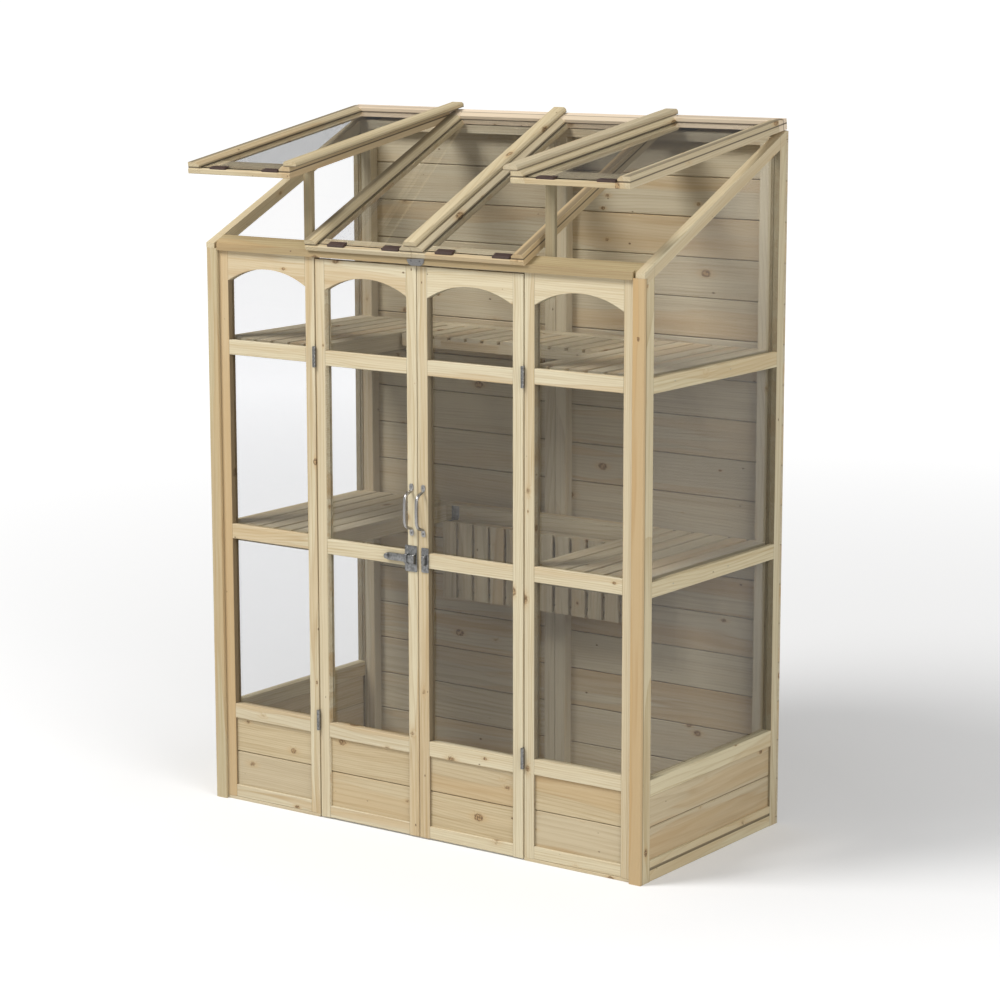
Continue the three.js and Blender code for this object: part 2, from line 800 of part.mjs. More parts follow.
function roofFrame(x0) {
  const x1 = x0 + lightWidth;
  const run = [roofEave + stileSetback, roofRear - topRailWidth / 2];
  const topRail = timber([x0, x1], [roofRear - topRailWidth, roofRear], [0, roofThickness - topRailDrop]);
  const eaveRail = timber([x0, x1], span(roofEave, roofBottomRail), [0, roofRebate]);
  const slotWidth = widened([x0 + roofStile, x1 - roofStile], roofSheetOverlap + gap);
  const slotRun = [roofEave + sheetEave - gap, roofRear - topRailWidth + roofSheetOverlap + gap];
  const slot = block(slotWidth, slotRun, widened(roofSheetHeights, gap));
  return join([
    prismY(stileOutline(x0, 1), run),
    prismY(stileOutline(x1, -1), run),
    topRail,
    eaveRail,
    ...clipShares.map((share) => glazingClip(x0, share)),
  ]).subtract(slot);
}

function roofSheet(x0) {
  const x = widened([x0 + roofStile, x0 + lightWidth - roofStile], roofSheetOverlap);
  const y = [roofEave + sheetEave, roofRear - topRailWidth + roofSheetOverlap];
  return block(x, y, roofSheetHeights);
}

// Weathering strip over the joint between two roof lights
function coverStrip(joint) {
  const half = coverWidth / 2;
  const base = roofThickness + gap;
  const top = base + coverThickness;
  const shape = shapeOf([
    [joint - half, base], [joint + half, base], [joint + half, top - coverSlant],
    [joint + half - coverSlant, top], [joint - half + coverSlant, top], [joint - half, top - coverSlant],
  ]);
  return prismY(shape, [roofEave + coverSetback, roofRear]);
}

function roofGroup(slope) {
  const turned = new THREE.Group();
  turned.rotation.x = slope;
  turned.position.set(0, hingeAxisY, hingeAxisZ);
  group.add(turned);
  return turned;
}

// Vent hinge: its leaf lies in the gap on top of the back panel
function ventHinge(x) {
  const range = [x - ventHingeLength / 2, x + ventHingeLength / 2];
  const leaf = block(range, [-ventHingeLeaf, 0], [-gap - leafPlate, -gap]);
  return cylinderX(ventHingeRadius, range, 0, 0).add(leaf);
}

// Prop: hangs upright from the vent, with a round head that turns under it
const propFront = headerBack + propClear;
const propHead = propDepth / 2;

function ventProp(sign, slope) {
  const centre = propFront + propHead;
  const seat = propHead + gap;
  const reach = hingeAxisY + seat * Math.sin(slope) - centre;
  const pivot = hingeAxisZ - reach * Math.tan(slope) - seat * Math.cos(slope);
  const near = halfWidth - lightWidth + propInset;
  const shape = new THREE.Shape();
  shape.moveTo(propFront, pivot - propLength);
  shape.lineTo(propFront + propDepth, pivot - propLength);
  shape.absarc(centre, pivot, propHead, 0, Math.PI);
  return prismX(shape, mirrored(sign, span(near, propWidth)));
}

const ventSlopes = { left: roofSlope - leftVentLift, right: roofSlope - rightVentLift };
for (const [side, sign] of sides) {
  const vent = roofGroup(ventSlopes[side]);
  const closed = roofGroup(roofSlope);
  const ventLeft = mirrored(sign, [halfWidth - lightWidth, halfWidth])[0];
  const fixedLeft = mirrored(sign, span(roofJointGap / 2, lightWidth))[0];
  addNode(`${side}_vent_frame`, roofFrame(ventLeft), ridgePine, vent);
  addNode(`${side}_vent_glazing`, roofSheet(ventLeft), glazing, vent);
  addNode(`${side}_vent_cover`, coverStrip(sign * (halfWidth - lightWidth - ventSideGap / 2)), pine, vent);
  addNode(`${side}_roof_frame`, roofFrame(fixedLeft), ridgePine, closed);
  addNode(`${side}_roof_glazing`, roofSheet(fixedLeft), glazing, closed);
  const ends = ['outer', 'inner'];
  ventHingeShares.forEach((share, place) => {
    const x = sign * (halfWidth - share * lightWidth);
    addNode(`${side}_vent_${ends[place]}_hinge`, ventHinge(x), zinc, closed);
  });
  addNode(`${side}_prop`, ventProp(sign, ventSlopes[side]), pine);
}
addNode('middle_cover', coverStrip(0), pine, roofGroup(roofSlope));

// The origin lies on the ground, midway between the open vents' front edge and the wall
group.updateMatrixWorld(true);
const extent = new THREE.Box3().setFromObject(group, true);
group.position.y = -(extent.min.y + extent.max.y) / 2;

export default group;
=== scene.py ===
import math

import bmesh
import bpy
from mathutils import Matrix, Vector


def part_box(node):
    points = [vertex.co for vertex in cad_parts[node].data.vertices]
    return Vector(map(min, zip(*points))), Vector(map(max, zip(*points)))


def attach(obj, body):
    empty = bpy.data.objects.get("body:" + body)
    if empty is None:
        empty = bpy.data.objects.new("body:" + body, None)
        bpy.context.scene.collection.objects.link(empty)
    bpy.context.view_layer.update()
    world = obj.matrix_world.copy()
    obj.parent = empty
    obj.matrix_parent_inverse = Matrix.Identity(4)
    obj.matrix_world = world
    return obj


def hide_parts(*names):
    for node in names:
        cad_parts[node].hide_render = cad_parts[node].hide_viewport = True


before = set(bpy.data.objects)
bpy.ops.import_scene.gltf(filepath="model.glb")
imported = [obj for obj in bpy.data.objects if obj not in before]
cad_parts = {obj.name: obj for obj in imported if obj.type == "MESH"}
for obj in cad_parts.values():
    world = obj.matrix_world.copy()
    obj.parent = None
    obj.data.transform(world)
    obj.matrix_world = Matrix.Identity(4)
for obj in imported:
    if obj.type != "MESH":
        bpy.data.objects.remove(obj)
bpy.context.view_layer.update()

scene = bpy.context.scene
scene.view_settings.view_transform = "Standard"


# Nodes. The surround, the materials and the screws' heads are all put together with these.
def fill(tree, node, inputs):
    """Links or sets a node's inputs, each given as a socket, a measure or a value."""
    for name, value in inputs.items():
        value = getattr(value, "socket", value)
        if isinstance(value, bpy.types.NodeSocket):
            tree.links.new(value, node.inputs[name])
        else:
            node.inputs[name].default_value = value


def new_node(tree, kind, inputs, **settings):
    """Node with its settings made, and then its inputs filled."""
    node = tree.nodes.new(kind)
    for name, value in settings.items():
        setattr(node, name, value)
    fill(tree, node, inputs)
    return node


class Measure:
    """A number that changes over a surface, worked out from other such numbers by maths nodes."""

    def __init__(self, tree, socket):
        self.tree, self.socket = tree, socket

    def worked(self, operation, *others):
        node = new_node(self.tree, "ShaderNodeMath", dict(enumerate((self, *others))),
                        operation=operation)
        return Measure(self.tree, node.outputs[0])

    def __add__(self, other):
        return self.worked("ADD", other)

    def __sub__(self, other):
        return self.worked("SUBTRACT", other)

    def __mul__(self, other):
        return self.worked("MULTIPLY", other)

    def __truediv__(self, other):
        return self.worked("DIVIDE", other)

    def __gt__(self, other):
        return self.worked("GREATER_THAN", other)

    def __lt__(self, other):
        return self.worked("LESS_THAN", other)

    def __abs__(self):
        return self.worked("ABSOLUTE")

    def floor(self):
        return self.worked("FLOOR")

    def either(self, yes, no):
        """yes where this is 1, no where it is 0."""
        return no + self * (yes - no)

    def step(self, low, high, ends=(0.0, 1.0), rise="SMOOTHSTEP"):
        """One end below low and the other above high, 0 and 1 if none are given."""
        node = new_node(self.tree, "ShaderNodeMapRange", {
            "Value": self, "From Min": low, "From Max": high,
            "To Min": ends[0], "To Max": ends[1]}, interpolation_type=rise)
        return Measure(self.tree, node.outputs["Result"])


def place_on(tree):
    """x, y and z of a place on a piece, in metres."""
    place = tree.nodes.new("ShaderNodeTexCoord").outputs["Object"]
    parts = new_node(tree, "ShaderNodeSeparateXYZ", {0: place})
    return [Measure(tree, socket) for socket in parts.outputs]


def together(tree, *measures):
    """Three numbers as one vector socket."""
    return new_node(tree, "ShaderNodeCombineXYZ", dict(enumerate(measures))).outputs[0]


def cloudy(tree, measures, detail=2.0, spread=0.5):
    """Noise of size 1 at a place, from 0 to 1."""
    noise = new_node(tree, "ShaderNodeTexNoise", {
        "Scale": 1.0, "Detail": detail, "Roughness": spread,
        "Vector": together(tree, *measures)})
    return Measure(tree, noise.outputs["Fac"])


def blended(tree, share, first, second):
    """Colour socket between two colours, each a socket or three numbers."""
    first, second = ((*colour, 1) if isinstance(colour, tuple) else colour
                     for colour in (first, second))
    mix = new_node(tree, "ShaderNodeMix", {"Factor": share, 6: first, 7: second},
                   data_type="RGBA")
    return mix.outputs[2]


def plain_material(name):
    """New material, with its tree and its shader."""
    material = bpy.data.materials.new(name)
    material.use_nodes = True
    return material, material.node_tree, material.node_tree.nodes["Principled BSDF"]


def add_sockets(tree, way, kind, *names):
    for name in names:
        tree.interface.new_socket(name, in_out=way, socket_type=f"NodeSocket{kind}")


# Studio. A pale floor runs out of sight under a white surround, a large soft lamp stands to the
# front left and a weaker one to the right, and the camera looks down a little from the right.
def set_camera(place, yaw, pitch, roll, lens):
    """Camera at a place in metres, turned by yaw from +Y, pitched down and rolled, in degrees."""
    yaw, pitch, roll = (math.radians(angle) for angle in (yaw, pitch, roll))
    forward = Vector((math.sin(yaw) * math.cos(pitch), math.cos(yaw) * math.cos(pitch),
                      -math.sin(pitch)))
    level = Vector((math.cos(yaw), -math.sin(yaw), 0))
    upright = level.cross(forward)
    right = math.cos(roll) * level + math.sin(roll) * upright
    up = math.cos(roll) * upright - math.sin(roll) * level
    camera = bpy.data.objects.new("camera", bpy.data.cameras.new("camera"))
    camera.data.lens = lens
    camera.data.sensor_width = 36
    camera.data.clip_end = 500
    turn = Matrix((right, up, -forward)).transposed().to_4x4()
    camera.matrix_world = Matrix.Translation(place) @ turn
    scene.collection.objects.link(camera)
    scene.camera = camera


def add_lamp(name, place, aim, size, power, colour):
    data = bpy.data.lights.new(name, "AREA")
    data.shape = "DISK"
    data.size = size
    data.energy = power
    data.color = colour
    lamp = bpy.data.objects.new(name, data)
    direction = Vector(aim) - Vector(place)
    turn = direction.to_track_quat("-Z", "Y").to_matrix().to_4x4()
    lamp.matrix_world = Matrix.Translation(place) @ turn
    scene.collection.objects.link(lamp)


set_camera(Vector((4.6903, -6.4779, 2.36537)), -35.5896, 10.3653, -0.0646, 104.99)
add_lamp("key", (-2.55, -3.7, 6.1), (0, 0, 0.9), 2.8, 362, (1.0, 0.995, 0.985))
add_lamp("fill", (5.6, -2.6, 3.6), (0, 0, 1.0), 4.2, 165, (1.0, 1.0, 1.0))

AMBIENT = 0.36
CEILING_FADE, CEILING_GREY = (0.08, 0.22), 0.07
FLOOR_WHITE, FLOOR_REACH = 0.86, 400
FLOOR_FADE, FLOOR_LIFTS = (1.1, 8.6), (0.11, 0.75)


def seen_directly(tree):
    """Light path node, and a measure that is 1 for what the camera or clear sheet looks at."""
    path = tree.nodes.new("ShaderNodeLightPath")
    camera, clear = (Measure(tree, path.outputs[f"Is {ray} Ray"])
                     for ray in ("Camera", "Transmission"))
    return path, camera.worked("MAXIMUM", clear)


def white_surround():
    """World that lights softly, and that the camera, gloss and glass see as white, grey high up."""
    world = bpy.data.worlds.new("surround")
    scene.world = world
    world.use_nodes = True
    world.cycles.sampling_method = "NONE"
    tree = world.node_tree
    tree.nodes.clear()
    path, seen = seen_directly(tree)
    shown = seen.worked("MAXIMUM", Measure(tree, path.outputs["Is Glossy Ray"]))
    way = tree.nodes.new("ShaderNodeTexCoord").outputs["Generated"]
    height = Measure(tree, new_node(tree, "ShaderNodeSeparateXYZ", {0: way}).outputs["Z"])
    ceiling = height.step(*CEILING_FADE, (1.0, CEILING_GREY), "LINEAR")
    soft, white = (new_node(tree, "ShaderNodeBackground", {
        "Color": (1, 1, 1, 1), "Strength": strength}) for strength in (AMBIENT, ceiling))
    mix = new_node(tree, "ShaderNodeMixShader", {
        0: shown, 1: soft.outputs[0], 2: white.outputs[0]})
    new_node(tree, "ShaderNodeOutputWorld", {"Surface": mix.outputs[0]})


def pale_floor():
    """Matt floor, with a little white added where the camera or glass looks at it."""
    mesh = bpy.data.meshes.new("floor")
    corners = [(-1, -1), (1, -1), (1, 1), (-1, 1)]
    mesh.from_pydata([(FLOOR_REACH * x, FLOOR_REACH * y, 0) for x, y in corners], [],
                     [(0, 1, 2, 3)])
    floor = bpy.data.objects.new("floor", mesh)
    scene.collection.objects.link(floor)
    material, tree, shader = plain_material("floor")
    place = tree.nodes.new("ShaderNodeTexCoord").outputs["Object"]
    distance = new_node(tree, "ShaderNodeVectorMath", {0: place}, operation="LENGTH")
    fade = Measure(tree, distance.outputs["Value"]).step(*FLOOR_FADE, FLOOR_LIFTS, "LINEAR")
    fill(tree, shader, {
        "Base Color": (FLOOR_WHITE, FLOOR_WHITE, FLOOR_WHITE, 1), "Roughness": 1.0,
        "Specular IOR Level": 0.0, "Emission Color": (1, 1, 1, 1),
        "Emission Strength": seen_directly(tree)[1] * fade})
    mesh.materials.append(material)


white_surround()
pale_floor()


# Fixed front panels. Planed pine stiles and rails, glued and pinned, with an arched head board and
# tongued and grooved boards below. The grain runs up the stiles and across the rails.
RING_SPACING = 0.0065
KNOT_SPACING = (0.15, 0.055, 0.055)
KNOT_LARGEST, KNOT_RARITY = 0.0165, 0.34
PIN_SPACING, PIN_LARGEST = (0.085, 0.030, 0.030), 0.0028
HEARTWOOD, KNOT_FILL, KNOT_RIM = (0.53, 0.36, 0.175), (0.42, 0.26, 0.112), (0.115, 0.062, 0.03)
# The last colour here darkens joint lines, and is also the colour of painted shade.
GREYED, BLUSH_PINK, SEAM_AND_SHADE_DARK = (0.52, 0.455, 0.335), (0.80, 0.66, 0.52), (0.09, 0.068, 0.042)


def scattered(tree, measures, spacing):
    """Distances from the nearest of many scattered points, and a random number for that point."""
    cell = [value / size for value, size in zip(measures, spacing)]
    points = new_node(tree, "ShaderNodeTexVoronoi", {
        "Scale": 1.0, "Vector": together(tree, *cell)})
    centre = new_node(tree, "ShaderNodeSeparateXYZ", {0: points.outputs["Position"]})
    lot = new_node(tree, "ShaderNodeSeparateColor", {0: points.outputs["Color"]})
    away = [(value - Measure(tree, socket)) * size
            for value, socket, size in zip(cell, centre.outputs, spacing)]
    return away, Measure(tree, lot.outputs[0])


def span_of(away, stretch):
    """Length of three distances, the first of them shortened by a share."""
    along = away[0] * stretch
    return (along * along + away[1] * away[1] + away[2] * away[2]).worked("SQRT")


def pine_group():
    """Planed softwood. Along, Across and Depth are metres in a board, and Board tells boards apart.
    Seam And Shade darkens joint lines, and also carries painted shade in grooves, beside the roof's
    cover strips and on the header's front face. Blush turns the wood pink, and Heart turns it the
    tan of heartwood, which on the header's front face is painted shade too."""
    tree = bpy.data.node_groups.new("planed pine", "ShaderNodeTree")
    measured = ("Along", "Across", "Depth", "Board", "Seam", "Blush", "Heart")
    add_sockets(tree, "INPUT", "Float", *measured)
    add_sockets(tree, "INPUT", "Color", "Pale", "Warm")
    add_sockets(tree, "OUTPUT", "Color", "Color")
    add_sockets(tree, "OUTPUT", "Float", "Roughness", "Height")
    given = tree.nodes.new("NodeGroupInput")
    along, across, depth, board, seam_and_shade, blush, heart = (
        Measure(tree, given.outputs[name]) for name in measured)
    draw = new_node(tree, "ShaderNodeTexWhiteNoise", {"W": board}, noise_dimensions="1D")
    parts = new_node(tree, "ShaderNodeSeparateColor", {0: draw.outputs["Color"]})
    first, second, third = (Measure(tree, socket) for socket in parts.outputs)
    a = along + first * 23.0
    b = across + second * 0.31
    c = depth + third * 0.27 + first * 0.9

    # Knots: round-ended branches that the rings flow around, with a dark ragged rim, and pin knots
    ragged = cloudy(tree, (a * 130.0, b * 190.0, c * 190.0), 4.0, 0.7) - 0.5
    away, lot = scattered(tree, (a, b, c), KNOT_SPACING)
    size = ((lot - KNOT_RARITY) * KNOT_LARGEST).worked("MAXIMUM", 0.0004)
    share = span_of(away, 0.70) / size + ragged * 1.9
    knot = (share * -1.0 + 1.0).step(-0.12, 0.20)
    cracks = cloudy(tree, (a * 260.0, b * 110.0, c * 260.0), 2.0).step(0.47, 0.56)
    rim = (abs(share - 0.86) * -1.0 + 1.0).step(0.64, 0.90) * ragged.step(-0.12, 0.10)
    inner = (share * 2.3 + ragged).worked("FRACT") * knot
    flare = (span_of(away, 0.42) / size * -0.7 + 1.35).step(0.0, 1.0) * (lot > KNOT_RARITY + 0.05)
    pull = (span_of(away, 0.70) / size * -0.9 + 1.75).step(0.0, 1.0)
    pin_away, pin_lot = scattered(tree, (a + 3.1, b + 1.7, c + 0.9), PIN_SPACING)
    pin_size = ((pin_lot - 0.45) * PIN_LARGEST * 1.9).worked("MAXIMUM", 0.0001)
    pin = ((span_of(pin_away, 0.6) + ragged * 0.0016) / pin_size * -1.0 + 1.0).step(-0.25, 0.35)

    # Growth rings, cut at a slant, so that they run in long pointed arches
    sway = cloudy(tree, (a * 1.5, b * 5.0, c * 5.0), 3.0) - 0.5
    drift = cloudy(tree, (a * 0.6, b * 2.2, c * 2.2), 1.0) - 0.5
    heart_b = b + sway * 0.050 + drift * 0.11 + pull * 0.014
    heart_c = c + drift * 0.07 + 0.045
    radius = (heart_b * heart_b + heart_c * heart_c).worked("SQRT")
    turn = (radius / RING_SPACING).worked("FRACT")
    late = turn * turn * turn
    fibre = cloudy(tree, (a * 9.0, b * 420.0, c * 420.0), 3.0, 0.65) - 0.5
    grain = cloudy(tree, (a * 2.4, b * 120.0, c * 120.0), 3.0, 0.6) - 0.5
    streak = cloudy(tree, (a * 1.1, b * 36.0, c * 36.0), 4.0, 0.62) - 0.5
    band = cloudy(tree, (a * 0.7, b * 15.0 + sway * 1.1, c * 9.0), 2.0)
    heartwood = band.step(0.50, 0.60)
    edge = (abs(band - 0.535) * -1.0 + 0.030).step(0.0, 0.030) + band.step(0.62, 0.68)

    lines = cloudy(tree, (a * 1.6, b * 150.0, c * 150.0), 2.0, 0.5).step(0.54, 0.66)
    tint = late * 0.50 + streak * 1.20 + grain * 1.10 + fibre * 0.9 + lines * 0.26
    tint = (tint + second * 0.30 - 0.04).worked("MAXIMUM", -0.15).worked("MINIMUM", 1.25)
    amount = first.step(0.10, 0.95)
    colour = blended(tree, tint, given.outputs["Pale"], given.outputs["Warm"])
    colour = blended(tree, third.step(0.45, 1.0) * 0.34, colour, GREYED)
    colour = blended(tree, heartwood * (amount * 0.36 + 0.10) + heart * 0.55, colour, HEARTWOOD)
    colour = blended(tree, edge * (amount * 0.26 + 0.05) * (grain * 2.0 + 1.0), colour, KNOT_FILL)
    colour = blended(tree, blush * 0.75, colour, BLUSH_PINK)
    colour = blended(tree, flare * 0.50, colour, HEARTWOOD)
    colour = blended(tree, knot * 0.50 + inner * 0.26, colour, KNOT_FILL)
    colour = blended(tree, (rim * 0.9).worked("MAXIMUM", knot * cracks * 0.7), colour, KNOT_RIM)
    colour = blended(tree, pin * 0.85, colour, KNOT_RIM)
    # Dark joint lines, and painted shade where a lay passes it, go towards one dark colour.
    colour = blended(tree, seam_and_shade * 0.62, colour, SEAM_AND_SHADE_DARK)
    new_node(tree, "NodeGroupOutput", {
        "Color": colour, "Roughness": fibre * 0.22 - knot * 0.12 + 0.64,
        "Height": fibre * 0.6 + late * 0.35 - knot * 0.25 - pin * 0.4})
    return tree


PINE = pine_group()
PALE_PINE, WARM_PINE = (0.69, 0.615, 0.435), (0.50, 0.385, 0.215)
PINE_GLOSS, GRAIN_STRENGTH, GRAIN_DEPTH = 0.35, 0.5, 0.0006


def pine(name, lay, pale=PALE_PINE, warm=WARM_PINE):
    """Pine material. lay(x, y, z) gives the pine group's numbers from a place on the piece."""
    material, tree, shader = plain_material(name)
    wood = new_node(tree, "ShaderNodeGroup", dict(enumerate(lay(*place_on(tree)))),
                    node_tree=PINE)
    fill(tree, wood, {"Pale": (*pale, 1), "Warm": (*warm, 1)})
    bump = new_node(tree, "ShaderNodeBump", {
        "Strength": GRAIN_STRENGTH, "Distance": GRAIN_DEPTH, "Height": wood.outputs["Height"]})
    fill(tree, shader, {
        "Base Color": wood.outputs["Color"], "Roughness": wood.outputs["Roughness"],
        "Specular IOR Level": PINE_GLOSS, "Normal": bump.outputs[0]})
    return material


def dress(node, material):
    """Puts a material on a piece of the frame, whose shape stays as it is."""
    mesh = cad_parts[node].data
    mesh.materials.clear()
    mesh.materials.append(material)


def dress_both(kind, material):
    """Puts a material on a piece of the left side and its twin on the right."""
    for side in SIDES:
        dress(f"{side}_{kind}", material)


def near_line(distance, reach):
    """1 on a line, 0 beyond a distance from it."""
    return (abs(distance) * -1.0 + reach).step(0.0, reach * 0.5)


SIDES = ("left", "right")
STILE_FIXED, STILE_DOOR, JOINT_REACH = 0.032, 0.034, 0.0005


def leaf_lay(node, stile, run_on=0.0, tans=(0.0, 0.0)):
    """Lay of a framed leaf: up the stiles, across the rails. run_on is how far the outermost stile
    runs on behind the corner strip, and tans are its shares of heartwood, left and right."""
    low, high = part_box(node)
    near, far = min(abs(low.x), abs(high.x)), max(abs(low.x), abs(high.x)) - run_on
    middle, half = (near + far) / 2, (far - near) / 2 - stile

    def lay(x, y, z):
        out = abs(x) - middle
        upright = abs(out) > half
        rail = (z * 3.0).floor() + (x > 0) * 11.0
        board = upright.either((out > 0) * 3.0 + (x > 0) * 5.0 + 2.0, rail)
        seam_and_shade = near_line(abs(out) - half, JOINT_REACH)
        outermost = (out > half) * ((x < 0) * (tans[0] - tans[1]) + tans[1])
        return upright.either(z, x), upright.either(x, z), y, board + 0.37, seam_and_shade, x * 0.0, outermost

    return lay


BEHIND_STRIP, OUTER_TANS, SEAM_REACH = 0.0087, (1.15, 0.40), 0.0012
leaf = pine("front_panel_pine",
            leaf_lay("left_front_frame", STILE_FIXED, BEHIND_STRIP, OUTER_TANS))


def boards_lay(across, joint, seed):
    """Lay of two tongued and grooved boards that run along one axis, and meet at a height."""
    def lay(x, y, z):
        board = (z > joint) + (x > 0) * 7.0 + seed
        run, depth = (y, x) if across else (x, y)
        return run, z, depth, board, near_line(z - joint, SEAM_REACH)

    return lay


def middle_joint(node):
    low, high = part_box(node)
    return (low.z + high.z) / 2


BOARD_PALE, BOARD_WARM = (0.595, 0.49, 0.31), (0.42, 0.31, 0.165)
boards = pine("front_boards_pine", boards_lay(False, middle_joint("left_front_cladding"), 40.3),
              BOARD_PALE, BOARD_WARM)
plinths = pine("plinth_pine", lambda x, y, z: (x, z, y, (x > 0) + 61.3))
dress_both("front_frame", leaf)
dress_both("front_cladding", boards)
dress_both("plinth", plinths)


# Doors. Two framed leaves like the fixed panels, a little lower, hung on the panels' edges.
boards = boards_lay(False, middle_joint("left_door_cladding"), 73.9)
dress_both("door_frame", pine("door_pine", leaf_lay("left_door_frame", STILE_DOOR)))
dress_both("door_cladding", pine("door_boards_pine", boards, BOARD_PALE, BOARD_WARM))


# Door hinges. Zinc-plated steel butt hinges, 58 mm tall: the fixed panel's leaf has three of the
# five knuckles and the pin, the door's leaf has the other two. The leaves lie on the stiles' edges.
SCRATCH, ROUGH_SPOTS, ROUGH_BASE, SPOT_DARK = 0.12, 0.2, 0.16, 0.55


def metal(name, colour, rough, mottle):
    """Steel with faint mottling and fine scratches."""
    material, tree, shader = plain_material(name)
    x, y, z = place_on(tree)
    spots = cloudy(tree, (x * 160.0, y * 160.0, z * 160.0), 3.0)
    scratch = cloudy(tree, (x * 900.0, y * 900.0, z * 60.0), 2.0)
    dark = tuple(SPOT_DARK * part for part in colour)
    share = spots.step(0.35, 0.7) * mottle + scratch * SCRATCH
    fill(tree, shader, {
        "Metallic": 1.0, "Base Color": blended(tree, share, colour, dark),
        "Roughness": spots * ROUGH_SPOTS + scratch * SCRATCH + (rough - ROUGH_BASE)})
    return material


def finished(name, mesh, material, body):
    """Piece of the object from a mesh that is in place, with its material and body."""
    mesh.materials.clear()
    mesh.materials.append(material)
    thing = bpy.data.objects.new(name, mesh)
    scene.collection.objects.link(thing)
    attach(thing, body)
    return thing


EDGE_ANGLE, CREASE_ANGLE = math.radians(40), math.radians(32)


def shaped(shape, name, soften=0.0):
    """Mesh of a shape, with its sharp edges rounded by a radius and its sides shaded smooth."""
    bmesh.ops.remove_doubles(shape, verts=shape.verts, dist=1e-6)
    if soften:
        sharp = [edge for edge in shape.edges if edge.calc_face_angle(0) > EDGE_ANGLE]
        bmesh.ops.bevel(shape, geom=sharp, offset=soften, segments=2, profile=0.5, affect="EDGES")
    bmesh.ops.recalc_face_normals(shape, faces=shape.faces)
    for face in shape.faces:
        face.smooth = True
    for edge in shape.edges:
        edge.smooth = edge.calc_face_angle(0) < CREASE_ANGLE
    mesh = bpy.data.meshes.new(name)
    shape.to_mesh(mesh)
    shape.free()
    return mesh


def add_bar(shape, low, high):
    """Box between two corners."""
    low, high = Vector(low), Vector(high)
    size = Matrix.Diagonal((*(high - low), 1))
    bmesh.ops.create_cube(shape, size=1, matrix=Matrix.Translation((low + high) / 2) @ size)


def add_rod(shape, radius, start, end, sides=20, end_radius=None):
    """Round bar between two points, or a taper."""
    start, end = Vector(start), Vector(end)
    turn = (end - start).to_track_quat("Z", "Y").to_matrix().to_4x4()
    bmesh.ops.create_cone(shape, cap_ends=True, segments=sides, radius1=radius,
                          radius2=radius if end_radius is None else end_radius,
                          depth=(end - start).length,
                          matrix=Matrix.Translation((start + end) / 2) @ turn)


fixings = {}


def fix(kind, body, place, facing):
    """Notes a screw or a nail, whose head is made with the others at the end."""
    fixings.setdefault((body, kind), []).append((Vector(place), Vector(facing)))


ZINC = metal("zinc_plate", (0.33, 0.33, 0.325), 0.38, 0.85)
front_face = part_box("left_front_frame")[0].y
KNUCKLES, KNUCKLE_GAP, KNUCKLE_RADIUS, PIN_HEAD = 5, 0.0006, 0.005, 0.0022
FRAME_LEAF, DOOR_LEAF = (0.0002, 0.0017), (0.00044, 0.0030)
LEAF_FRONT, NECK_BACK, LEAF_BACK = 0.0004, 0.0012, 0.0164
LEAF_SCREWS, LEAF_SCREW_DEPTH, PIN_SHARE, FINE_EDGE = (0.17, 0.5, 0.83), 0.009, 0.6, 0.0002


def butt_hinge(side, level, sign):
    """Both halves of a door hinge, round the axis of the frame's own knuckle."""
    node = f"{side}_{level}_hinge"
    low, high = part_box(node)
    axis_x, axis_y = (low.x + high.x) / 2, low.y + KNUCKLE_RADIUS
    step = (high.z - low.z) / KNUCKLES
    door = f"{side}_door"
    halves = {"cabinet": (bmesh.new(), FRAME_LEAF, sign, 0),
              door: (bmesh.new(), DOOR_LEAF, -sign, 1)}
    for body, (half, leaf, way, first) in halves.items():
        near, far = sorted(axis_x + way * side_of for side_of in leaf)
        for number in range(first, KNUCKLES, 2):
            bottom = low.z + number * step + KNUCKLE_GAP / 2
            top = low.z + (number + 1) * step - KNUCKLE_GAP / 2
            add_rod(half, KNUCKLE_RADIUS, (axis_x, axis_y, bottom), (axis_x, axis_y, top))
            add_bar(half, (near, axis_y, bottom), (far, front_face + NECK_BACK, top))
        add_bar(half, (near, front_face + LEAF_FRONT, low.z), (far, front_face + LEAF_BACK, high.z))
        face = axis_x + way * leaf[0]
        for share in LEAF_SCREWS:
            height = low.z + share * (high.z - low.z)
            fix("screws", body, (face, front_face + LEAF_SCREW_DEPTH, height), (-way, 0, 0))
    for end, way in ((low.z, 1), (high.z, -1)):
        add_rod(halves["cabinet"][0], KNUCKLE_RADIUS * PIN_SHARE,
                (axis_x, axis_y, end + way * PIN_HEAD), (axis_x, axis_y, end))
    fixed = finished(f"{node}_frame_leaf", shaped(halves["cabinet"][0], node, FINE_EDGE), ZINC,
                     "cabinet")
    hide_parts(node)
    finished(f"{node}_door_leaf", shaped(halves[door][0], node, FINE_EDGE), ZINC, door)


for side, sign in zip(SIDES, (-1, 1)):
    for level in ("upper", "lower"):
        butt_hinge(side, level, sign)


# Handles. Bent steel rods, 9 mm thick, with ends hammered flat into feet that take a screw each.
# Half a handle is given, as places out from the front and up from the middle with half sizes.
def join_rings(shape, rings):
    """Skin over rings of points, with both ends closed."""
    size = len(rings[0])
    for first, second in zip(rings, rings[1:]):
        for index in range(size):
            shape.faces.new((first[index], first[(index + 1) % size],
                             second[(index + 1) % size], second[index]))
    shape.faces.new(reversed(rings[0]))
    shape.faces.new(rings[-1])


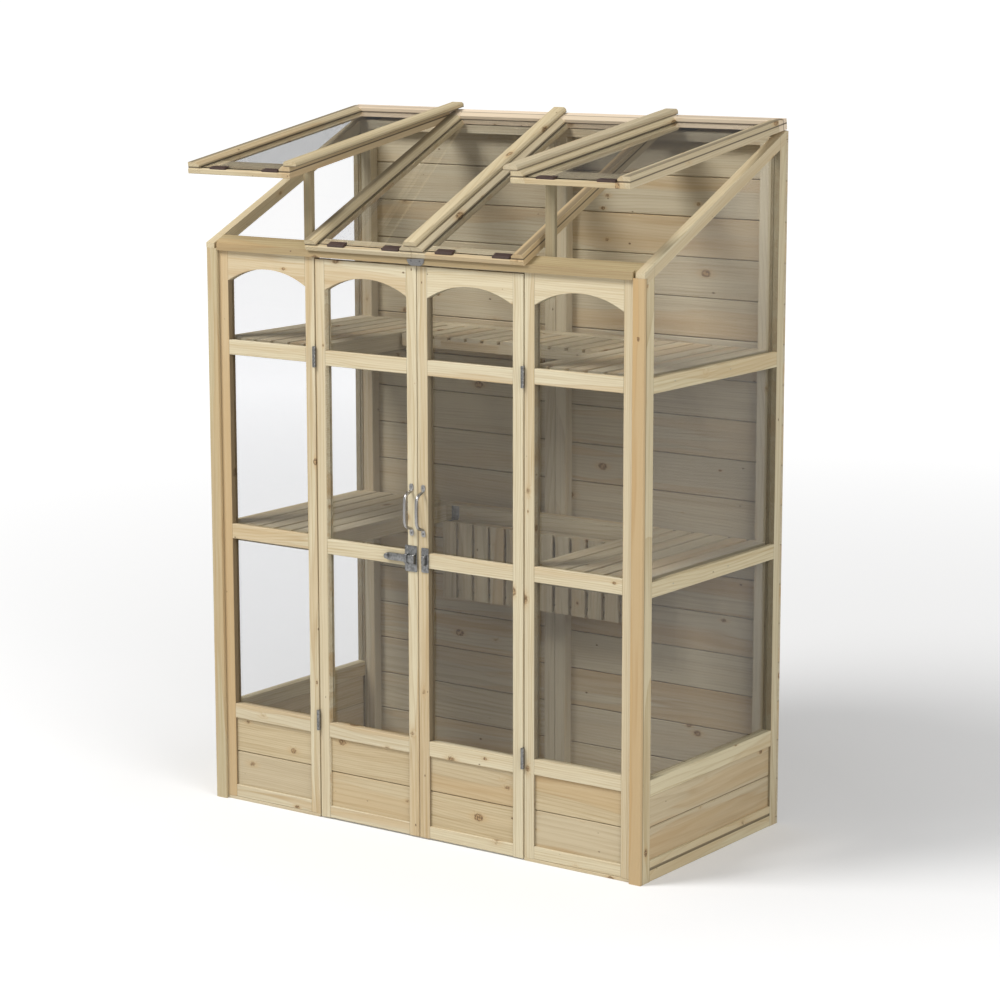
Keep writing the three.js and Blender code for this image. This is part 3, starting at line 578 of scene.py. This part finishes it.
def add_sweep(shape, across, route, steps=5, sides=16, square=False):
    """Bar along a route of y, z, half width and half thickness, in the plane at x = across."""
    count = len(route)
    line = []
    for index in range(count - 1):
        before, start, end, after = (Vector(route[min(max(index + move, 0), count - 1)])
                                     for move in (-1, 0, 1, 2))
        for part in range(steps):
            t = part / steps
            squared = (2 * before - 5 * start + 4 * end - after) * t * t
            cubed = (3 * start - before - 3 * end + after) * t * t * t
            line.append(start + ((end - before) * t + squared + cubed) / 2)
    line.append(Vector(route[-1]))
    corners = [math.tau * (step + 0.5) / sides for step in range(sides)]
    if square:
        corners = [math.atan2(up, out) for out, up in ((1, 1), (-1, 1), (-1, -1), (1, -1))]
    reach = math.sqrt(2) if square else 1.0
    rings = []
    for index, (y, z, half_width, half_thick) in enumerate(line):
        ahead, behind = line[min(index + 1, len(line) - 1)], line[max(index - 1, 0)]
        slope_y, slope_z = ahead[0] - behind[0], ahead[1] - behind[1]
        length = math.hypot(slope_y, slope_z)
        out_y, out_z = -slope_z / length, slope_y / length
        rings.append([shape.verts.new((
            across + reach * half_width * math.cos(angle),
            y + reach * half_thick * math.sin(angle) * out_y,
            z + reach * half_thick * math.sin(angle) * out_z)) for angle in corners])
    join_rings(shape, rings)


STEEL = metal("satin_steel", (0.46, 0.45, 0.44), 0.30, 0.35)
HANDLE_HALF = [
    (0.0012, 0.0716, 0.0016, 0.0004), (0.0013, 0.0712, 0.0036, 0.0009),
    (0.0015, 0.0695, 0.0056, 0.0012), (0.0016, 0.0660, 0.0069, 0.0013),
    (0.0016, 0.0600, 0.0069, 0.0013), (0.0017, 0.0562, 0.0058, 0.0014),
    (0.0024, 0.0532, 0.0050, 0.0021), (0.0052, 0.0512, 0.0045, 0.0036),
    (0.0105, 0.0496, 0.0044, 0.0043), (0.0190, 0.0466, 0.0044, 0.0044),
    (0.0262, 0.0414, 0.0044, 0.0044), (0.0305, 0.0345, 0.0044, 0.0044),
    (0.0324, 0.0240, 0.0044, 0.0044), (0.0330, 0.0100, 0.0044, 0.0044),
]
FOOT_SCREW, FOOT_FACE = 0.0632, 0.0029


def mirrored(half_route, middle):
    """Whole route of a bar, from its upper half and the height of its middle."""
    upper = [(front_face - out, middle + rise, *sizes) for out, rise, *sizes in half_route]
    return upper + [(front_face - out, middle - rise, *sizes)
                    for out, rise, *sizes in reversed(half_route)]


for side in SIDES:
    low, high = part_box(f"{side}_handle")
    middle_x, middle_z = (low.x + high.x) / 2, (low.z + high.z) / 2
    shape = bmesh.new()
    add_sweep(shape, middle_x, mirrored(HANDLE_HALF, middle_z))
    handle = finished(f"{side}_pull_handle", shaped(shape, "handle"), STEEL, f"{side}_door")
    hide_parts(f"{side}_handle")
    for way in (-1, 1):
        foot = (middle_x, front_face - FOOT_FACE, middle_z + way * FOOT_SCREW)
        fix("screws", f"{side}_door", foot, (0, -1, 0))


# Pad bolt. Pressed and galvanised steel: two straps on a plate carry a flat bar with a knob, and
# one strap on the other door takes its end. Screws above and below the straps hold the plates.
PLATE_FRONT, PLATE_BACK, PLATE_CORNER, PLATE_EDGE = 0.0028, 0.0003, (0.003, 4), 0.0003
STRAP_INSET, SCREW_INSET = 0.0085, 0.0085
STRAP_SIZES = (0.0045, 0.0011)
STRAP_HALF_LOOP = [(out, rise, *STRAP_SIZES) for out, rise in (
    (0.0035, 0.0170), (0.0036, 0.0140), (0.0048, 0.0126), (0.0080, 0.0121),
    (0.0107, 0.0120), (0.0121, 0.0110), (0.0124, 0.0090), (0.0124, 0.0030))]


def round_corners(shape, radius, segments):
    """Rounds the corners of a flat plate that faces the front."""
    corners = [edge for edge in shape.edges
               if abs((edge.verts[0].co - edge.verts[1].co).y) > 0.001]
    bmesh.ops.bevel(shape, geom=corners, offset=radius, segments=segments, profile=0.5,
                    affect="EDGES")


def bolt_plate(name, node, body, straps):
    """Plate with a strap at each of some places along it, and the screws of each strap."""
    low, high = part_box(node)
    middle, reach = (low.z + high.z) / 2, (high.z - low.z) / 2 - SCREW_INSET
    shape = bmesh.new()
    add_bar(shape, (low.x, front_face - PLATE_FRONT, low.z),
            (high.x, front_face - PLATE_BACK, high.z))
    round_corners(shape, *PLATE_CORNER)
    for strap in straps:
        add_sweep(shape, strap, mirrored(STRAP_HALF_LOOP, middle), 3, square=True)
        for way in (-1, 1):
            fix("screws", body, (strap, front_face - PLATE_FRONT, middle + way * reach), (0, -1, 0))
    plate = finished(name, shaped(shape, name, PLATE_EDGE), ZINC, body)
    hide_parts(node)


low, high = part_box("bolt_carrier")
bolt_plate("bolt_straps", "bolt_carrier", "left_door",
           (low.x + STRAP_INSET, high.x - STRAP_INSET))
low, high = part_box("bolt_keep")
bolt_plate("keep_strap", "bolt_keep", "right_door", ((low.x + high.x) / 2,))

BAR_BACK, BAR_FRONT, BAR_HALF, BAR_CORNER, BAR_EDGE = 0.0034, 0.0104, 0.0100, (0.0045, 5), 0.0004
KNOB_RADIUS, KNOB_SIDES = 0.0085, 24
KNOB = ((-0.0034, 0.0083), (-0.0112, 0.0083), (-0.0112, 0.0060), (-0.0120, 0.0052),
        (-0.0128, 0.0060), (-0.0134, 0.0072), (-0.0143, 0.0074), (-0.0150, 0.0062),
        (-0.0153, 0.0030))
low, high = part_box("door_bolt")
middle = (low.z + high.z) / 2
shape = bmesh.new()
add_bar(shape, (low.x + KNOB_RADIUS, front_face - BAR_FRONT, middle - BAR_HALF),
        (high.x, front_face - BAR_BACK, middle + BAR_HALF))
round_corners(shape, *BAR_CORNER)
turns = [math.tau * step / KNOB_SIDES for step in range(KNOB_SIDES)]
rings = [[shape.verts.new((low.x + KNOB_RADIUS + radius * math.cos(turn), front_face + out,
                           middle + radius * math.sin(turn))) for turn in turns]
         for out, radius in KNOB]
join_rings(shape, rings)
bar = finished("sliding_bar", shaped(shape, "bolt", BAR_EDGE), ZINC, "bolt")
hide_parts("door_bolt")


# Header, corner strips and props: single lengths of planed pine.
def straight(axis, seed):
    """Lay of one length of timber along x or z."""
    if axis == "x":
        return lambda x, y, z: (x, z, y, x * 0.0 + seed)
    return lambda x, y, z: (z, x, y, (x > 0) + seed)


header_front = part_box("header")[0].y + 0.001
# The header's two numbers paint shade on its front face: a darkening and a tan.
HEADER_PAINTED_SHADE, HEADER_PAINTED_TAN, STRIP_SEAM, STRIP_TAN = 0.28, 0.5, 0.0016, 1.35


def header_lay(x, y, z):
    """Along the header, with painted shade on its front face, which is darker and more tan than its
    top.
    """
    front = y < header_front
    return x, z, y, x * 0.0 + 81.2, front * HEADER_PAINTED_SHADE, x * 0.0, front * HEADER_PAINTED_TAN


def strip_lay(x, y, z):
    """Up the corner strips, dark where they meet the leaves, and more tan on the right."""
    return z, x, y, (x > 0) + 92.6, y > front_face - STRIP_SEAM, x * 0.0, (x > 0) * STRIP_TAN


dress("header", pine("header_pine", header_lay, (0.44, 0.355, 0.20), (0.31, 0.22, 0.105)))
strips = pine("corner_strip_pine", strip_lay, (0.555, 0.475, 0.305), (0.43, 0.33, 0.165))
# The props' pine is far darker than the rest: painted shade, for the shadow of the open vents above
# them.
shaded_props = pine("prop_pine", straight("z", 97.1), (0.33, 0.28, 0.175), (0.25, 0.195, 0.105))
dress_both("corner_strip", strips)
dress_both("prop", shaded_props)


# Header plate. Zinc-plated steel, straight above and rounded below, with two screws.
dress("header_plate", STEEL)
low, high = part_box("header_plate")
height = low.z * 0.4 + high.z * 0.6
for share in (0.25, 0.75):
    fix("screws", "cabinet", (low.x + share * (high.x - low.x), low.y, height), (0, -1, 0))


# Side panels. Framed like the front, with a top rail that follows the slope of the roof.
ROOF_SLOPE = math.radians(25)
STILE_SIDE_FRONT, STILE_SIDE_REAR, SIDE_TOP_RAIL = 0.035, 0.033, 0.032
SIDE_GROOVE, GROOVE_SHADOW_REACH, EDGE_REACH = 0.0345, 0.0042, 0.0008
side_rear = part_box("left_side_frame")[1].y
side_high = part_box("left_side_frame")[1].z
opening_y = (front_face + STILE_SIDE_FRONT, side_rear - STILE_SIDE_REAR)
strip_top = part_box("left_corner_strip")[1].z


def side_lay(x, y, z):
    """Up the stiles, across the rails, and up the slope on the top rail."""
    middle, half = sum(opening_y) / 2, (opening_y[1] - opening_y[0]) / 2
    upright = abs(y - middle) > half
    below = (y - side_rear) * math.tan(ROOF_SLOPE) + side_high - z
    topmost = below < SIDE_TOP_RAIL / math.cos(ROOF_SLOPE)
    slanted = y * math.cos(ROOF_SLOPE) + z * math.sin(ROOF_SLOPE)
    over = z * math.cos(ROOF_SLOPE) - y * math.sin(ROOF_SLOPE)
    along = topmost.either(slanted, upright.either(z, y))
    across = topmost.either(over, upright.either(y, z))
    lower = upright.either((y > middle) * 3.0 + 4.0, (z * 2.7).floor() + 20.0)
    board = topmost.either(topmost * 17.0, lower)
    # Painted shadow in the groove along the bottom rail, in a band wider than the groove itself.
    groove_shadow = (abs(z - SIDE_GROOVE) < GROOVE_SHADOW_REACH) * (abs(y - middle) < half)
    seam_and_shade = near_line(abs(y - middle) - half, JOINT_REACH) + groove_shadow
    seam_and_shade = seam_and_shade + (y < front_face + EDGE_REACH) * (z < strip_top)
    return along, across, x, board + (x > 0) * 31.0 + 0.71, seam_and_shade


frames = pine("side_frame_pine", side_lay, (0.66, 0.58, 0.385), (0.47, 0.36, 0.19))
boards = boards_lay(True, middle_joint("left_side_cladding"), 111.4)
dress_both("side_frame", frames)
dress_both("side_cladding", pine("side_boards_pine", boards, BOARD_PALE, BOARD_WARM))

SHELF_DROP = 0.0235
NAIL_SHARES = (0.20, 0.60)
for side, sign in zip(SIDES, (-1, 1)):
    outer = sign * max(abs(corner.x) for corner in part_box(f"{side}_side_frame"))
    for rail in ("upper", "lower"):
        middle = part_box(f"{side}_{rail}_shelf")[1].z - SHELF_DROP
        for share in NAIL_SHARES:
            run = front_face + share * (side_rear - front_face)
            fix("nails", "cabinet", (outer, run, middle), (sign, 0, 0))


# Back. Tongued and grooved boards run across, nailed to battens, in two panels that meet in the
# middle. The boards are outside, and the rails and battens inside.
BACK_GROOVE, BACK_PITCH, BOARD_THICK = 0.020, 0.111, 0.009
BACK_RAIL, WALL_PLATE, BATTEN_MIDDLES = 0.040, 0.053, (0.0185, 0.6837)
FIRST_NAIL, LAST_NAIL = 0.028, 0.045
back_low, back_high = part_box("right_back_panel")


def back_lay(x, y, z):
    """Across the boards and rails, and up the battens."""
    boarded = y > back_high.y - BOARD_THICK - 0.0002
    number = ((z - BACK_GROOVE) / BACK_PITCH).floor() + (x > 0) * 23.0
    rail = (z < BACK_RAIL) + (z > back_high.z - WALL_PLATE)
    flat = boarded.worked("MAXIMUM", rail)
    inside = rail * 5.0 + (abs(x) * 3.0).floor() * 2.0 + (x > 0) * 3.0 + 60.0
    board = boarded.either(number, inside)
    share = ((z - BACK_GROOVE) / BACK_PITCH + 0.5).worked("FRACT") - 0.5
    seam_and_shade = near_line(share * BACK_PITCH, SEAM_REACH) * boarded
    return flat.either(x, z), flat.either(z, x), y, board + 0.19, seam_and_shade


boards = pine("back_boards_pine", back_lay, (0.58, 0.51, 0.36), (0.42, 0.34, 0.22))
dress_both("back_panel", boards)
for sign in (-1, 1):
    for batten in BATTEN_MIDDLES:
        height = BACK_GROOVE + FIRST_NAIL
        while height < back_high.z - LAST_NAIL:
            fix("nails", "cabinet", (sign * batten, back_high.y, height), (0, 1, 0))
            height += BACK_PITCH / 2


# Shelves. Slats let into bearers, resting on a rail across the back.
SLAT, BEARER, SLAT_GAP = 0.011, 0.018, 0.0105
SHELF_PALE, SHELF_WARM = (0.54, 0.465, 0.315), (0.37, 0.295, 0.185)


def shelf_lay(node, count, hanging=False):
    """Lay of a slatted shelf: slats from front to back, or up and down on the one that hangs."""
    low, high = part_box(node)
    pitch = (high.x - low.x + SLAT_GAP) / count

    def lay(x, y, z):
        run, rise, front, back = (z, y, low.z, high.z) if hanging else (y, z, low.y, high.y)
        slat = (y < low.y + SLAT) if hanging else (z > high.z - SLAT)
        crossing = abs(run - (front + back) / 2) > (back - front) / 2 - BEARER
        lengthways = slat.worked("MAXIMUM", crossing * -1.0 + 1.0)
        number = ((x - low.x) / pitch).floor()
        board = slat.either(number, (x * 5.0).floor() + 51.0)
        return lengthways.either(run, x), lengthways.either(x, run), rise, board + high.z * 13.0

    return lay


for level in ("upper", "lower"):
    node = f"{level}_shelf_rail"
    lays = {node: straight("x", 130.0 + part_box(node)[0].z)}
    for side in SIDES:
        node = f"{side}_{level}_shelf"
        lays[node] = shelf_lay(node, 6)
    node = f"{level}_centre_shelf"
    lays[node] = shelf_lay(node, 12, level == "lower")
    for node, lay in lays.items():
        dress(node, pine(f"{node}_pine", lay, SHELF_PALE, SHELF_WARM))


# Shelf hinges. Small zinc-plated butt hinges: one leaf is screwed to the front of the rail, the
# other to the back of the folding shelf, so that it folds down.
SHELF_HINGE_ENDS, SHELF_KNUCKLE, KNUCKLE_ENDS = (0.306, 0.333), 0.0034, (0.0001, 0.0002)
AXIS_BACK, AXIS_DROP, LEAF_STANDS = 0.0032, 0.0415, 0.00015
RAIL_LEAF, RAIL_LEAF_ENDS, RAIL_LEAF_EDGE = 0.0012, (0.0024, 0.0382), 0.0003
SHELF_LEAF_FACES, SHELF_LEAF_ENDS = (-0.0017, -0.0004), (0.0020, 0.0300)
SHELF_SCREW_INSET, SHELF_SCREW_RISES = 0.0065, (0.013, 0.030)
rail_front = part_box("upper_shelf_rail")[0].y


def shelf_hinge(level, side, sign):
    """Rail half and shelf half of a hinge, round the axis of the shelf's fold."""
    axis_y, axis_z = rail_front + AXIS_BACK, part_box(f"{level}_shelf_rail")[1].z - AXIS_DROP
    near, far = sorted(sign * end for end in SHELF_HINGE_ENDS)
    third = (far - near) / 3
    leaf_face = axis_y + LEAF_STANDS
    rail, shelf = bmesh.new(), bmesh.new()
    for start in (near, far - third):
        add_rod(rail, SHELF_KNUCKLE, (start + KNUCKLE_ENDS[0], axis_y, axis_z),
                (start + third - KNUCKLE_ENDS[1], axis_y, axis_z))
    add_bar(rail, (near, leaf_face, axis_z + RAIL_LEAF_ENDS[0]),
            (far, leaf_face + RAIL_LEAF, axis_z + RAIL_LEAF_ENDS[1]))
    add_rod(shelf, SHELF_KNUCKLE, (near + third + KNUCKLE_ENDS[1], axis_y, axis_z),
            (far - third - KNUCKLE_ENDS[1], axis_y, axis_z))
    if level == "lower":
        lows = (axis_y - SHELF_LEAF_ENDS[1], axis_z + SHELF_LEAF_FACES[0])
        highs = (axis_y - SHELF_LEAF_ENDS[0], axis_z + SHELF_LEAF_FACES[1])
    else:
        lows = (axis_y + SHELF_LEAF_FACES[0], axis_z + SHELF_LEAF_ENDS[0])
        highs = (axis_y + SHELF_LEAF_FACES[1], axis_z + SHELF_LEAF_ENDS[1])
    add_bar(shelf, (near + third, *lows), (far - third, *highs))
    for x in (near + SHELF_SCREW_INSET, far - SHELF_SCREW_INSET):
        for rise in SHELF_SCREW_RISES:
            fix("screws", "cabinet", (x, leaf_face, axis_z + rise), (0, -1, 0))
    finished(f"{side}_{level}_shelf_rail_leaf", shaped(rail, "leaf", RAIL_LEAF_EDGE), ZINC,
             "cabinet")
    finished(f"{side}_{level}_shelf_leaf", shaped(shelf, "leaf", FINE_EDGE), ZINC,
             f"{level}_shelf")


for level in ("upper", "lower"):
    for side, sign in zip(SIDES, (-1, 1)):
        shelf_hinge(level, side, sign)


# Roof lights. Stepped stiles with rails between, hinged at the back, with strips over the joints.
ROOF_STILE, ROOF_TOP_RAIL, TOP_RAIL_JOINT = 0.044, 0.0445, 0.022
COVER_BASE, COVER_HALF, COVER_CONTACT_SHADE = 0.0323, 0.0245, 0.0028
SHEET_TOP, SHEET_REACH, SHEET_GROOVE_SHADOW, TOP_JOINT_REACH = 0.0176, 0.0026, 1.4, 0.0022
ROOF_PALE, ROOF_WARM = (0.60, 0.505, 0.325), (0.43, 0.325, 0.175)
LIFTS = {"left_vent": math.radians(15.25), "right_vent": math.radians(16.6)}
VENT_KNUCKLE = 0.0032
axis_y, axis_z = (end - VENT_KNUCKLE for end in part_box("left_vent_outer_hinge")[1].yz)


def slope_of(name):
    """Slope of a roof light at rest."""
    return ROOF_SLOPE - LIFTS.get(name, 0.0)


def laid_up(name):
    """Turn and place of a roof light, from its own run and rise."""
    return Matrix.Translation((0, axis_y, axis_z)) @ Matrix.Rotation(slope_of(name), 4, "X")


def up_slope(y, z, slope):
    """Distances up the slope and out of it, from the hinge axis."""
    out_y, out_z = y - axis_y, z - axis_z
    return (out_y * math.cos(slope) + out_z * math.sin(slope),
            out_z * math.cos(slope) - out_y * math.sin(slope))


def light_lay(node, slope, seed):
    """Lay of a roof light: up the slope on its stiles, across on its rails."""
    low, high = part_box(node)
    middle, half = (low.x + high.x) / 2, (high.x - low.x) / 2 - ROOF_STILE

    def lay(x, y, z):
        run, rise = up_slope(y, z, slope)
        lengthways = (abs(x - middle) > half) * (run < -ROOF_TOP_RAIL)
        board = lengthways.either((x > middle) * 2.0, (run > -0.2) + 5.0)
        topmost = run > -ROOF_TOP_RAIL
        covered = near_line(x - low.x, COVER_HALF) + near_line(x - high.x, COVER_HALF)
        seam_and_shade = near_line(run + TOP_RAIL_JOINT, TOP_JOINT_REACH)
        # Painted contact shade on the tops of the stiles beside the cover strips.
        seam_and_shade = seam_and_shade + covered * (rise > COVER_BASE - EDGE_REACH)
        # Painted shadow line in the groove that takes the sheet.
        seam_and_shade = seam_and_shade + near_line(rise - SHEET_TOP, SHEET_REACH) * SHEET_GROOVE_SHADOW
        return (lengthways.either(run, x), lengthways.either(x, run), rise, board + seed,
                seam_and_shade, topmost * ((run > -TOP_RAIL_JOINT) * 0.25 + 0.75))

    return lay


def cover_lay(slope, seed):
    """Lay of a cover strip, with painted contact shade where it meets the lights."""
    def lay(x, y, z):
        run, rise = up_slope(y, z, slope)
        return run, x, rise, x * 0.0 + seed, rise < COVER_BASE + COVER_CONTACT_SHADE

    return lay


ROOF_LIGHTS = {"left_vent": "left_vent", "left_roof": "cabinet",
               "right_roof": "cabinet", "right_vent": "right_vent"}
for number, name in enumerate(ROOF_LIGHTS):
    node = f"{name}_frame"
    lay = light_lay(node, slope_of(name), 151.0 + 9 * number)
    dress(node, pine(f"{node}_pine", lay, ROOF_PALE, ROOF_WARM))
for number, name in enumerate(("left_vent", "middle", "right_vent")):
    node = f"{name}_cover"
    lay = cover_lay(slope_of(name), 201.7 + number)
    dress(node, pine(f"{node}_pine", lay, ROOF_PALE, ROOF_WARM))


# Wide eave rails. On the two vents the rail runs further up under the sheet than on the fixed
# lights. The rest of its width is added here, flush with the frame's own rail, as the same board.
RAIL_RUN, RAIL_RISE, RAIL_SIDE, RAIL_EDGE = (-0.7382, -0.6882), (0.0003, 0.0138), 0.0442, 0.0008
for name in LIFTS:
    low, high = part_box(f"{name}_frame")
    shape = bmesh.new()
    add_bar(shape, (low.x + RAIL_SIDE, RAIL_RUN[0], RAIL_RISE[0]),
            (high.x - RAIL_SIDE, RAIL_RUN[1], RAIL_RISE[1]))
    bmesh.ops.transform(shape, matrix=laid_up(name), verts=shape.verts)
    finished(f"{name}_eave_rail", shaped(shape, "rail", RAIL_EDGE),
             bpy.data.materials[f"{name}_frame_pine"], name)


# Roof clips. Short strips of steel, painted dark brown, folded over the front edge of the sheet.
# The outline is given up the slope and out of it.
CLIP_HALF, CLIP_SHARES, CLIP_EDGE = 0.0278, (0.286, 0.798), 0.0006
CLIP_OUTLINE = ((-0.7797, 0.0137), (-0.7697, 0.0137), (-0.7697, 0.0169),
                (-0.7593, 0.0169), (-0.7593, 0.0200), (-0.7797, 0.0200))
PAINTED = metal("brown_paint", (0.072, 0.042, 0.034), 0.5, 0.5)
PAINTED.node_tree.nodes["Principled BSDF"].inputs["Metallic"].default_value = 0.0
for name, body in ROOF_LIGHTS.items():
    low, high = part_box(f"{name}_frame")
    shape = bmesh.new()
    for share in CLIP_SHARES:
        middle = low.x + share * (high.x - low.x)
        join_rings(shape, [[shape.verts.new(laid_up(name) @ Vector((end, run, rise)))
                            for run, rise in CLIP_OUTLINE]
                           for end in (middle - CLIP_HALF, middle + CLIP_HALF)])
    finished(f"{name}_clips", shaped(shape, "clips", CLIP_EDGE), PAINTED, body)


# Vent hinges. Long zinc-plated knuckles along the top of the wall plate.
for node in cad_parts:
    if node.endswith(("outer_hinge", "inner_hinge")):
        dress(node, ZINC)


# Glazing. Clear acrylic sheet, 2.5 mm thick, slid into grooves in the frames. The open vents lie
# nearly flat to the eye, where a sheet looks darker, so theirs have a deeper tint: a painted
# darkening for the dim reflection a sheet gives at a slant.
ACRYLIC_BEND, SOFT_THROUGH = 1.3, 0.60


def clear_sheet(name, tint, direct):
    """Acrylic: clear to look through, a mirror at a slant, and open to the lamps' light."""
    material, tree, shader = plain_material(name)
    fill(tree, shader, {
        "Base Color": (tint, tint * 1.003, tint * 1.01, 1), "Roughness": 0.0,
        "IOR": ACRYLIC_BEND, "Transmission Weight": 1.0})
    path = tree.nodes.new("ShaderNodeLightPath")
    shadow, diffuse = (Measure(tree, path.outputs[f"Is {ray} Ray"])
                       for ray in ("Shadow", "Diffuse"))
    share = blended(tree, diffuse, (direct,) * 3, (SOFT_THROUGH,) * 3)
    through = new_node(tree, "ShaderNodeBsdfTransparent", {"Color": share})
    mix = new_node(tree, "ShaderNodeMixShader", {
        0: shadow.worked("MAXIMUM", diffuse), 1: shader.outputs[0], 2: through.outputs[0]})
    fill(tree, tree.nodes["Material Output"], {"Surface": mix.outputs[0]})
    return material


# The vents' deeper tint is a painted darkening for the slant they are seen at.
SHEETS = {"vent": clear_sheet("vent_acrylic", 0.82, 1.0),
          "roof": clear_sheet("roof_acrylic", 0.95, 0.96),
          "wall": clear_sheet("wall_acrylic", 0.93, 0.90)}
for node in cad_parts:
    if node.endswith("_glazing"):
        dress(node, SHEETS.get(node.split("_")[1], SHEETS["wall"]))


# Screws and nails. Zinc-plated cross-headed screws hold the fittings, and round wire nails hold the
# boards and the shelf bearers. One tree of nodes sets a head on each noted place, turned at random.
# Each kind of head has a rim radius, a top radius, a height and the width of its cross.
HEADS = {"screws": (0.0031, 0.0022, 0.0009, 0.0009), "nails": (0.0019, 0.0014, 0.00005, 0.0)}
HEAD_SIDES, HEAD_SEED = 16, 7


def heads_tree(kind):
    """Geometry nodes that put a tapered head, with a cross cut in it for a screw, on each point."""
    tree = bpy.data.node_groups.new(kind, "GeometryNodeTree")
    add_sockets(tree, "INPUT", "Geometry", "Geometry")
    add_sockets(tree, "INPUT", "Float", "Rim Radius", "Top Radius", "Head Height", "Cross Width")
    add_sockets(tree, "INPUT", "Int", "Seed")
    add_sockets(tree, "INPUT", "Material", "Material")
    add_sockets(tree, "OUTPUT", "Geometry", "Geometry")
    given = tree.nodes.new("NodeGroupInput").outputs
    head = new_node(tree, "GeometryNodeMeshCone", {
        "Vertices": HEAD_SIDES, "Radius Bottom": given["Rim Radius"],
        "Radius Top": given["Top Radius"], "Depth": given["Head Height"]})
    if kind == "screws":
        whole, raised = head, new_node(tree, "ShaderNodeCombineXYZ", {"Z": given["Head Height"]})
        head = new_node(tree, "GeometryNodeMeshBoolean", {
            "Mesh 1": whole.outputs["Mesh"], "Self Intersection": True},
            operation="DIFFERENCE", solver="EXACT")
        for long, short in (("X", "Y"), ("Y", "X")):
            size = new_node(tree, "ShaderNodeCombineXYZ", {
                long: given["Rim Radius"], short: given["Cross Width"], "Z": given["Head Height"]})
            bar = new_node(tree, "GeometryNodeMeshCube", {"Size": size.outputs[0]})
            moved = new_node(tree, "GeometryNodeTransform", {
                "Geometry": bar.outputs["Mesh"], "Translation": raised.outputs[0]})
            fill(tree, head, {"Mesh 2": moved.outputs["Geometry"]})
    facing = new_node(tree, "GeometryNodeInputNamedAttribute", {"Name": "facing"},
                      data_type="FLOAT_VECTOR")
    aligned = new_node(tree, "FunctionNodeAlignRotationToVector", {
        "Vector": facing.outputs["Attribute"]}, axis="Z")
    chance = new_node(tree, "FunctionNodeRandomValue", {3: math.pi / 2, "Seed": given["Seed"]},
                      data_type="FLOAT")
    spin = new_node(tree, "ShaderNodeCombineXYZ", {"Z": chance.outputs[1]})
    angle = new_node(tree, "FunctionNodeEulerToRotation", {0: spin.outputs[0]})
    turned = new_node(tree, "FunctionNodeRotateRotation", {
        "Rotation": aligned.outputs["Rotation"], "Rotate By": angle.outputs["Rotation"]},
        rotation_space="LOCAL")
    placed = new_node(tree, "GeometryNodeInstanceOnPoints", {
        "Points": given["Geometry"], "Instance": head.outputs["Mesh"],
        "Rotation": turned.outputs["Rotation"]})
    real = new_node(tree, "GeometryNodeRealizeInstances", {"Geometry": placed.outputs["Instances"]})
    coated = new_node(tree, "GeometryNodeSetMaterial", {
        "Geometry": real.outputs["Geometry"], "Material": given["Material"]})
    new_node(tree, "NodeGroupOutput", {"Geometry": coated.outputs["Geometry"]})
    return tree


def driven_home(body, kind, places, tree):
    """Heads of one kind on one body, as a plain mesh."""
    points = bpy.data.meshes.new("points")
    points.from_pydata([place for place, _ in places], [], [])
    facing = points.attributes.new("facing", "FLOAT_VECTOR", "POINT")
    facing.data.foreach_set("vector", [part for _, way in places for part in way])
    carrier = bpy.data.objects.new("points", points)
    scene.collection.objects.link(carrier)
    made = carrier.modifiers.new("heads", "NODES")
    made.node_group = tree
    rim, top, height, cross = HEADS[kind]
    values = {"Rim Radius": rim, "Top Radius": top, "Head Height": height, "Cross Width": cross,
              "Seed": HEAD_SEED, "Material": ZINC}
    for socket in tree.interface.items_tree:
        if socket.in_out == "INPUT" and socket.name in values:
            made[socket.identifier] = values[socket.name]
    evaluated = carrier.evaluated_get(bpy.context.evaluated_depsgraph_get())
    mesh = bpy.data.meshes.new_from_object(evaluated)
    carrier.modifiers.remove(made)
    bpy.data.objects.remove(carrier)
    if "facing" in mesh.attributes:
        mesh.attributes.remove(mesh.attributes["facing"])
    finished(f"{body}_{kind}", mesh, ZINC, body)


trees = {kind: heads_tree(kind) for kind in HEADS}
for (body, kind), places in fixings.items():
    driven_home(body, kind, places, trees[kind])
